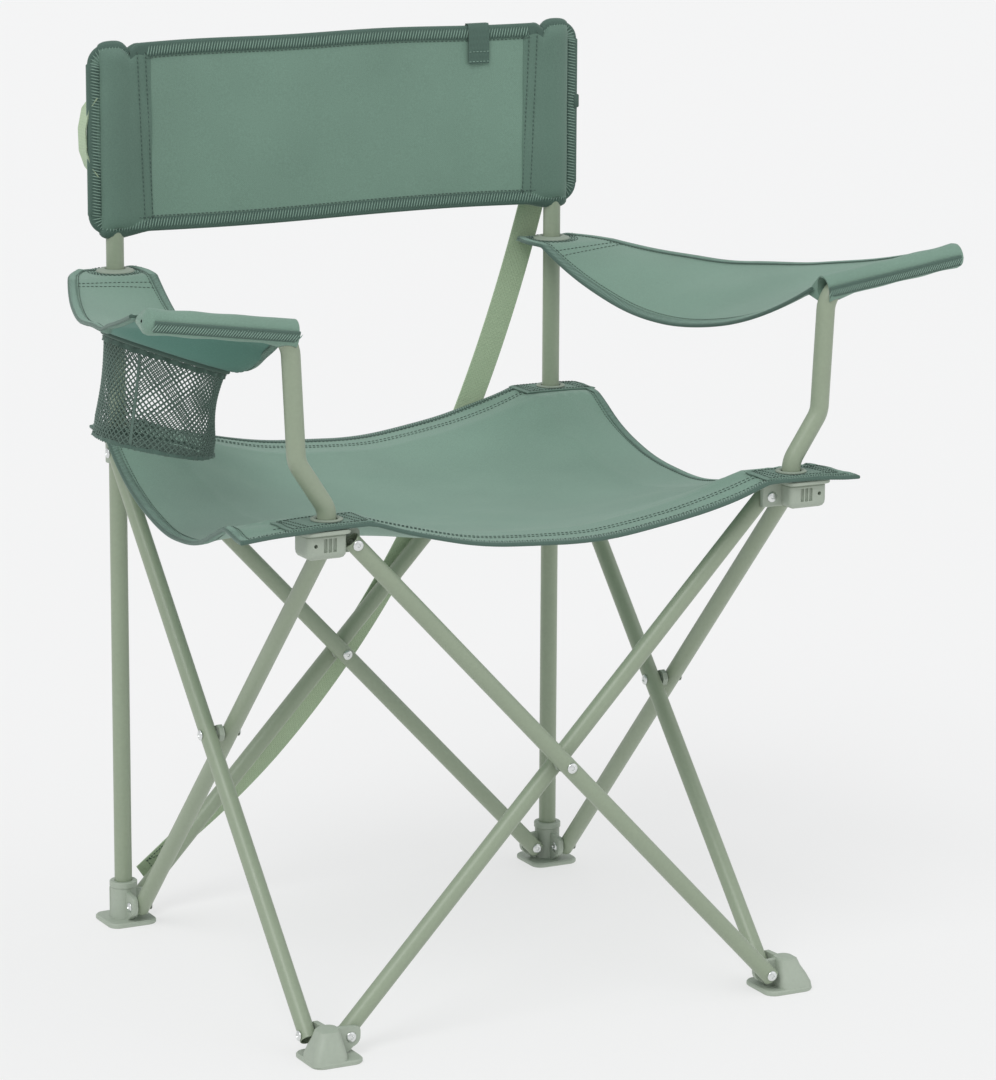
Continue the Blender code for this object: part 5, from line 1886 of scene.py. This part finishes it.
@dataclass
class Backrest:
    """The cloth back: a middle panel, and a pocket over each upright.

    Attributes:
        reach: From the middle to the pockets' outer edges.
        fold: From the middle to the pockets' inner seams.
        tuck: How far the panel reaches into a pocket.
        thick: The panel's thickness, two layers of cloth.
        tape: How far the edge tape reaches in.
        notch: From the middle to the notch between the panel's tape and a pocket's.
        lip: Half the thickness of a pocket's flat outer lip.
        pinch: What is left of a pocket's depth at its top and at its foot.
    """

    reach: float = 0.2425
    fold: float = 0.190
    tuck: float = 0.016
    thick: float = 0.0026
    tape: float = 0.0105
    notch: float = 0.2065
    lip: float = 0.0022
    pinch: tuple[float, float] = (0.42, 0.70)

    def heights(self, low: float, high: float, x: float) -> tuple[float, float]:
        """The lower and upper edges at x."""
        side = abs(x)
        top = high - 0.0022 + 0.0008 * math.cos(x * 9.0) + 0.0006 * math.sin(x * 31.0)
        top -= 0.0058 * math.exp(-(((side - self.notch) / 0.0050) ** 2))
        bottom = low + 0.0012 * math.sin(x * 17.0)
        round_off = max(0.0, side - (self.reach - 0.016)) / 0.016
        drop = 0.016 * (1 - math.sqrt(max(0.0, 1 - round_off**2)))
        return bottom + drop, top - drop

    def middle_y(self, bones: Skeleton, x: float, share: float) -> float:
        """Where the cloth's middle plane lies: it bows back a little between the uprights."""
        bow = 0.006 * max(0.0, 1 - (x / self.fold) ** 2) * (0.4 + 0.6 * share)
        crease = noise.noise(Vector((x * 11.0, share * 1.4, 4.0))) * 0.0016
        crease *= max(0.0, 1 - (x / self.fold) ** 4)
        return bones.corner - 0.0045 + bow + crease

    def centre_y(self, bones: Skeleton, x: float) -> float:
        """Where a pocket's middle plane lies: from the panel's plane at its seam to the upright's axis."""
        middle = self.middle_y(bones, x, 0.5)
        return middle + (bones.corner + 0.0002 - middle) * min(1.0, max(0.0, (x - self.fold) / 0.018))

    def build(self, shop: Workshop, bones: Skeleton) -> None:
        """Make the panel, the pockets, the tape and seams, and the label loop."""
        low, high, _ = ends_of("backrest")
        panel = self._panel(shop, bones, low.z, high.z)
        for item in panel:
            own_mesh(item)
        for _, side in SIDES:
            self._pocket(shop, bones, low.z, high.z, side)
        self._side_loops(shop, bones, low.z, high.z)

    def _panel(self, shop: Workshop, bones: Skeleton, low: float, high: float) -> list[bpy.types.Object]:
        """The middle panel, with its tape, seams and label."""
        limit = self.fold + self.tuck

        def surface(u: float, v: float) -> Vector:
            x = (2 * u - 1) * limit
            bottom, top = self.heights(low, high, x)
            return Vector((x, self.middle_y(bones, x, v), bottom + (top - bottom) * v))

        width, height = 2 * limit, high - low
        verts, faces, uvs = cloth_shell(surface, 90, 40, self.thick, (width, height))
        panel = new_piece("backrest_panel", verts, faces, shop.finishes.cloth, uvs)
        shop.set_on(panel, "root", ["backrest"])
        soft = [panel]
        line = [(k / 120, 0.0) for k in range(121)]
        overs, rows = [], []
        for where, v, inward in (("lower", 0.0, (0, 1)), ("upper", 1.0, (0, -1))):
            edge = edge_rows(surface, [(u, v) for u, _ in line], inward)
            tape = edge_tape(f"backrest_{where}_tape", edge, self.tape, 0.0052, shop.finishes.tape)
            shop.set_on(tape, "root")
            soft.append(tape)
            visible = [row for row in edge if abs(row[0].x) < self.fold + 0.002]
            overs.append(beside(visible, self.tape * 0.5, 0.0027))
            rows.append(beside(visible, self.tape + 0.001, self.thick / 2 + LIFT))
        overs += mirrored(overs, 0.0054 - 2 * LIFT)
        rows += mirrored(rows, self.thick)
        soft.append(shop.sew_on("backrest_overlock", overs, BACK_OVERLOCK, shop.finishes.thread, "root"))
        soft.append(shop.sew_on("backrest_seams", rows, RUNNING, shop.finishes.dark_thread, "root"))
        return soft + self._label(shop, bones, high)

    def _side_loops(self, shop: Workshop, bones: Skeleton, low: float, high: float) -> None:
        """The webbing loop sewn behind the left edge, and the small tab in the right edge."""
        reach, middle = self.reach - 0.006, (low + high) / 2
        bows = [(0.0, 0.0040, 0.036), (0.0070, 0.0062, 0.026), (0.0105, 0.0070, 0.008)]
        bows += [(0.0100, 0.0068, -0.012), (0.0055, 0.0058, -0.026), (0.0, 0.0040, -0.034)]
        spine = [Vector((-reach - out, bones.corner + behind, middle + up)) for out, behind, up in bows]
        rings = []
        for index, point in enumerate(spine):
            along = (spine[min(5, index + 1)] - spine[max(0, index - 1)]).normalized()
            out = Vector((-abs(along.z), 0, 0)) * 0.0006
            wide = Vector((0, 0.0085, 0))
            rings.append([point - wide + out, point + wide + out, point + wide - out, point - wide - out])
        uvs = [(0.017 * (k % 2), 0.014 * (k // 4)) for k in range(24)]
        loop = new_piece("backrest_left_loop", *skin(rings), shop.finishes.webbing, uvs, crease=50)
        shop.set_on(loop, "root")
        rises = [(0.002, 0.0006), (0.003, 0.0), (0.013, 0.0), (0.014, 0.0006)]
        levels = [(middle + up, shrunk) for up, shrunk in rises]
        slab = rounded_slab((self.reach + 0.0005, bones.corner), (0.0032, 0.0042), 0.002, levels)
        tab = new_piece("backrest_right_tab", *slab, shop.finishes.tape)
        shop.set_on(tab, "rear_right_foot")

    def _label(self, shop: Workshop, bones: Skeleton, high: float) -> list[bpy.types.Object]:
        """A plain loop of tape folded over the upper edge."""
        x, half = 0.140, 0.0105
        y = bones.corner - 0.0045 + 0.003
        path = [(-0.0042, -0.034), (-0.0042, -0.002), (-0.0025, 0.0022), (0.0025, 0.0022), (0.0042, -0.002),
                (0.0042, -0.020)]
        rings = []
        for k, (dy, dz) in enumerate(path):
            near = path[max(0, k - 1)]
            far = path[min(len(path) - 1, k + 1)]
            along = Vector((far[0] - near[0], far[1] - near[1])).normalized()
            out = Vector((-along.y, along.x)) * 0.0005
            ring = []
            for side, sign in ((-1, 1), (1, 1), (1, -1), (-1, -1)):
                behind, above = y + dy + sign * out.x, high + dz - 0.001 + sign * out.y
                ring.append(Vector((x + side * half, behind, above)))
            rings.append(ring)
        uvs = [(0.02 * (k % 2), 0.008 * (k // 4)) for k in range(4 * len(path))]
        loop = new_piece("backrest_label", *skin(rings), shop.finishes.tape, uvs, crease=80)
        shop.set_on(loop, "root")
        front = Vector((0, -1, 0))
        runs = []
        for z in (high - 0.024, high - 0.033):
            runs.append([(Vector((x + s * half * 0.85, y - 0.0050, z)), front) for s in (-1, 1)])
        return [loop, shop.sew_on("backrest_label_seams", runs, HATCH, shop.finishes.thread, "root")]

    def _pocket(self, shop: Workshop, bones: Skeleton, low: float, high: float, side: int) -> None:
        """A pocket around an upright, with its taped outline and its double seam."""
        hand, body = ("left", "root") if side < 0 else ("right", "rear_right_foot")
        inner_x = self.fold - 0.004
        stations, rows = 44, 36
        rings: Rings = []
        uvs: list[tuple[float, float]] = []
        for k in range(stations + 1):
            x = inner_x + (self.reach - inner_x) * (1 - (1 - k / stations) ** 1.35)
            bottom, top = self.heights(low, high, x)
            half, centre = self.half_depth(bones, x), self.centre_y(bones, x)
            front, rear, flats = [], [], []
            for r in range(rows + 1):
                v = r / rows
                deep, z = half * self.pinched(v), bottom + (top - bottom) * v
                fold = noise.noise(Vector((x * 40, v * 3.2, side * 2.0))) * 0.0012 * math.sin(math.pi * v)
                front.append(Vector((side * x, centre - deep + fold, z)))
                rear.append(Vector((side * x, centre + deep, z)))
                flats.append((x, z))
            rings.append(front + rear[::-1])
            uvs += flats + flats[::-1]
        # The pocket takes the darker copy of the sling cloth.
        pocket = new_piece(f"backrest_{hand}_pocket", *skin(rings), shop.finishes.doubled, uvs, crease=70)
        heights = (low - 0.01, (low + high) / 2, high - 0.0085)
        bore = [Vector((side * bones.corner, bones.corner, z)) for z in heights]
        cut(pocket, round_bar(bore, 0.0086, sides=40, lip=0.001))
        shop.set_on(pocket, body)
        self._pocket_trim(shop, bones, self._outline(low, high, inner_x), side, hand, body)
        seams = (self.fold - 0.0015, self.fold + 0.0065)
        runs = [self._pocket_seam(bones, low, high, side, x) for x in seams]
        outline = self._outline(low, high, inner_x)
        runs.append(self._pocket_edge(bones, outline, side, self.tape + 0.0005, 0.0006))
        shop.sew_on(f"backrest_{hand}_pocket_seams", runs, RUNNING, shop.finishes.dark_thread, body)

    def half_depth(self, bones: Skeleton, x: float) -> float:
        """Half the pocket's depth at x: flat at its seam, round over the upright, and a flat lip outside."""
        if x < bones.corner:
            near = (x - self.fold + 0.004) / (bones.corner - self.fold + 0.004)
            return 0.0018 + 0.0088 * math.sin(max(0.0, near) * math.pi / 2) ** 1.6
        away = min(1.0, (x - bones.corner) / 0.0135)
        return self.lip + (0.0106 - self.lip) * math.sqrt(1 - away**2)

    def pinched(self, v: float) -> float:
        """The share of the pocket's depth at a height, drawn in toward its top and its foot."""
        top = (1 - self.pinch[0]) * max(0.0, (v - 0.93) / 0.07) ** 2
        foot = (1 - self.pinch[1]) * max(0.0, (0.06 - v) / 0.06) ** 2
        return 1 - top - foot

    def _thickness(self, bones: Skeleton, outline: Sequence[Vector]) -> list[float]:
        """How thick a pocket's tape is at each point of its outline."""
        thick = []
        for index, flat in enumerate(outline):
            share = self.pinch[0] if index < 40 else self.pinch[1] if index > len(outline) - 41 else 1.0
            thick.append(2 * self.half_depth(bones, flat.x) * share + 0.0018)
        return thick

    def _pocket_rows(self, bones: Skeleton, outline: Sequence[Vector], side: int) -> list[EdgeRow]:
        """A pocket's edge: its points, the way forward and the way in."""
        rows = []
        for index, flat in enumerate(outline):
            before, after = outline[max(0, index - 1)], outline[min(len(outline) - 1, index + 1)]
            along = (after - before).normalized()
            point = Vector((side * flat.x, self.centre_y(bones, flat.x), flat.y))
            rows.append((point, Vector((0, -1, 0)), Vector((side * along.y, 0, -along.x))))
        return rows

    def _pocket_edge(
        self, bones: Skeleton, outline: Sequence[Vector], side: int, inward: float, lift: float, face: int = 1
    ) -> Run:
        """A seam along a pocket's tape.

        Args:
            bones: The frame's places.
            outline: The pocket's outline.
            side: -1 for the left pocket, 1 for the right.
            inward: How far in from the edge it runs.
            lift: How high above the tape.
            face: 1 for the front, -1 for the back.

        Returns:
            Its points, with the way out at each.
        """
        rows, thick = self._pocket_rows(bones, outline, side), self._thickness(bones, outline)
        return [
            (p + i * inward + n * face * (deep / 2 + lift), n * face) for (p, n, i), deep in zip(rows, thick)
        ]

    def _pocket_trim(
        self, shop: Workshop, bones: Skeleton, outline: Sequence[Vector], side: int, hand: str, body: str
    ) -> None:
        """The tape around a pocket's outline and its overlock stitches."""
        rows, thick = self._pocket_rows(bones, outline, side), self._thickness(bones, outline)
        rings, uvs, run = [], [], 0.0
        for index, (point, up, inward) in enumerate(rows):
            run += (point - rows[index - 1][0]).length if index else 0.0
            section = tape_section(self.tape * 0.9, thick[index])
            rings.append([point + inward * a + up * b for a, b in section])
            uvs += [(run, k * 0.0011) for k in range(len(section))]
        name = f"backrest_{hand}_pocket"
        tape = new_piece(f"{name}_tape", *skin(rings), shop.finishes.tape, uvs, crease=60)
        shop.set_on(tape, body)
        runs = [self._pocket_edge(bones, outline, side, self.tape * 0.45, LIFT, face) for face in (1, -1)]
        shop.sew_on(f"{name}_overlock", runs, BACK_OVERLOCK, shop.finishes.thread, body)

    def _pocket_seam(self, bones: Skeleton, low: float, high: float, side: int, x: float) -> Run:
        """One of the two leaning seams that close a pocket."""
        bottom, top = self.heights(low, high, x)
        lean, steps = 0.006, 40
        run = []
        for k in range(steps + 1):
            v = k / steps
            px = x - lean * (1 - v) + lean * 0.5
            z = bottom + self.tape * 0.6 + (top - bottom - self.tape * 1.2) * v
            y = self.centre_y(bones, px) - self.half_depth(bones, px) - LIFT
            run.append((Vector((side * px, y, z)), Vector((0, -1, 0))))
        return run

    def _outline(self, low: float, high: float, inner_x: float) -> list[Vector]:
        """A pocket's outline in plan of the back: along the top, down the side and back along the bottom."""
        steps = 40
        side = self.reach
        xs = [inner_x + (side - inner_x) * (1 - (1 - k / steps) ** 2) for k in range(steps + 1)]
        top = [Vector((x, self.heights(low, high, x)[1])) for x in xs]
        bottom = [Vector((x, self.heights(low, high, x)[0])) for x in reversed(xs)]
        edge = spread([top[-1], bottom[0]], 0.006)[1:-1]
        return [*top, *edge, *bottom]


@dataclass
class CarryStrap:
    """The webbing that closes around the folded chair, slack behind the open one.

    Attributes:
        width: The webbing's width.
        thick: Its thickness.
    """

    width: float = 0.025
    thick: float = 0.0014
    low: tuple[float, float] = (0.160, 0.108)
    high: tuple[float, float] = (0.095, 0.360)

    def build(self, shop: Workshop, bones: Skeleton) -> None:
        """Make the strap and the box stitch at its lower end."""
        middle = ends_of("carry_strap")[2]
        start = Vector((-bones.pivot + self.width / 2 - 0.006, 0.036))
        end = Vector((bones.corner - 0.003, 0.660))
        first, second = start + Vector(self.low), end - Vector(self.high)

        def surface(u: float, v: float) -> Vector:
            a, b, c = start.lerp(first, v), first.lerp(second, v), second.lerp(end, v)
            before, after = a.lerp(b, v), b.lerp(c, v)
            along = (after - before).normalized()
            across = Vector((-along.y, along.x))
            gather = 1 - 0.45 * max(0.0, 1 - v / 0.28) ** 1.5
            edge = before.lerp(after, v) + across * (u - 0.5) * self.width * gather
            bow = 0.0012 * math.sin(v * 9.0) * (u - 0.5)
            return Vector((edge.x, middle.y + bow, edge.y))

        length = 0.86
        verts, faces, uvs = cloth_shell(surface, 8, 160, self.thick, (self.width, length))
        strap = new_piece("carry_strap_webbing", verts, faces, shop.finishes.webbing, uvs, crease=50)
        shop.set_on(strap, "root", ["carry_strap"])
        spine = [surface(0.5, k / 200) for k in range(201)]
        length = sum((b - a).length for a, b in zip(spine, spine[1:]))
        lift = self.thick / 2 + LIFT
        box = [(0.15, 0.02), (0.85, 0.02), (0.85, 0.075), (0.15, 0.075), (0.15, 0.02)]
        cross = [[(0.15, 0.02), (0.85, 0.075)], [(0.85, 0.02), (0.15, 0.075)]]
        runs = [corner_seam(surface, line, 0.02, lift) for line in [box, *cross]]
        runs += mirrored(runs, self.thick)
        threads = shop.sew_on("carry_strap_box_stitch", runs, HATCH, shop.finishes.dark_thread, "root")
        for item in (strap, threads):
            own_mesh(item)


# --- Stage ----------------------------------------------------------------------------------------
@dataclass
class Studio:
    """The floor, the light and the camera.

    Attributes:
        azimuth: The camera's bearing in degrees.
        elevation: Its angle above the horizon.
        distance: From the point that it looks past to the lens.
        target: The point that it looks at.
        focal: The lens's focal length in millimetres.
        roll: Its roll in degrees.
    """

    azimuth: float = -27.387
    elevation: float = 12.597
    distance: float = 4.083
    target: tuple[float, float, float] = (0.0405, -0.0209, 0.3805)
    focal: float = 154.41
    roll: float = 0.288

    def build(self) -> None:
        """Set the stage."""
        self._floor()
        self._lights()
        self._camera()

    @staticmethod
    def _floor() -> None:
        """A wide pale floor."""
        mesh = bpy.data.meshes.new("floor")
        half = 60.0
        corners = [(-half, -half, 0), (half, -half, 0), (half, half, 0), (-half, half, 0)]
        mesh.from_pydata(corners, [], [(0, 1, 2, 3)])
        floor = placed("floor", mesh)
        made = bpy.data.materials.new("floor")
        made.use_nodes = True
        Graph(made.node_tree).fill(
            made.node_tree.nodes["Principled BSDF"],
            {
                "Base Color": (0.27, 0.27, 0.27, 1),
                "Emission Color": (1.0, 1.0, 1.0, 1),
                "Emission Strength": 0.62,
                "Roughness": 0.9,
                "Specular IOR Level": 0.1,
            },
        )
        mesh.materials.append(made)

    @staticmethod
    def _lights() -> None:
        """Soft light from all round, and a broad key from the front left."""
        world = bpy.data.worlds.new("studio")
        bpy.context.scene.world = world
        world.use_nodes = True
        sky = world.node_tree.nodes["Background"]
        sky.inputs["Color"].default_value = (0.97, 0.985, 1.0, 1)
        sky.inputs["Strength"].default_value = 0.69
        for name, energy, spread_deg, turn in (
            ("key", 1.15, 30, (40, 0, -52)),
            ("fill", 0.35, 60, (55, 0, 50)),
        ):
            light = bpy.data.lights.new(name, "SUN")
            light.energy = energy
            light.angle = math.radians(spread_deg)
            placed(name, light).rotation_euler = [math.radians(angle) for angle in turn]

    def _camera(self) -> None:
        """A long lens at the chair's front left, a little above it."""
        data = bpy.data.cameras.new("camera")
        camera = placed("camera", data)
        a, e = math.radians(self.azimuth), math.radians(self.elevation)
        back = Vector((math.sin(a) * math.cos(e), -math.cos(a) * math.cos(e), math.sin(e)))
        camera.location = Vector(self.target) + back * self.distance
        look = (-back).to_track_quat("-Z", "Y").to_matrix()
        camera.rotation_euler = (look @ Matrix.Rotation(math.radians(self.roll), 3, "Z")).to_euler()
        data.lens = self.focal
        data.sensor_width = 36.0
        data.sensor_fit = "AUTO"
        data.clip_start, data.clip_end = 0.1, 200.0
        bpy.context.scene.camera = camera
        bpy.context.scene.view_settings.view_transform = "Standard"


def main() -> None:
    """Build every sub-assembly in order."""
    logging.basicConfig(level=logging.INFO, format="%(message)s")
    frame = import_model()
    bones = Skeleton.read(frame)
    shop = Workshop(Wardrobe(), StitchTree(), NetTree(), RivetTree(), frame)
    Studio().build()
    CrossedTubes().build(shop, bones)
    ArmTubes().build(shop, bones)
    Mouldings().build(shop)
    Feet().build(shop, bones)
    Brackets().build(shop, bones)
    Rivets().build(shop)
    Seat().build(shop, bones)
    Armrest(side=-1, sag_outer=0.022, bulge=0.018).build(shop, bones)
    Armrest(side=1).build(shop, bones)
    CupHolder().build(shop, bones)
    Backrest().build(shop, bones)
    CarryStrap().build(shop, bones)


if __name__ == "__main__":
    main()
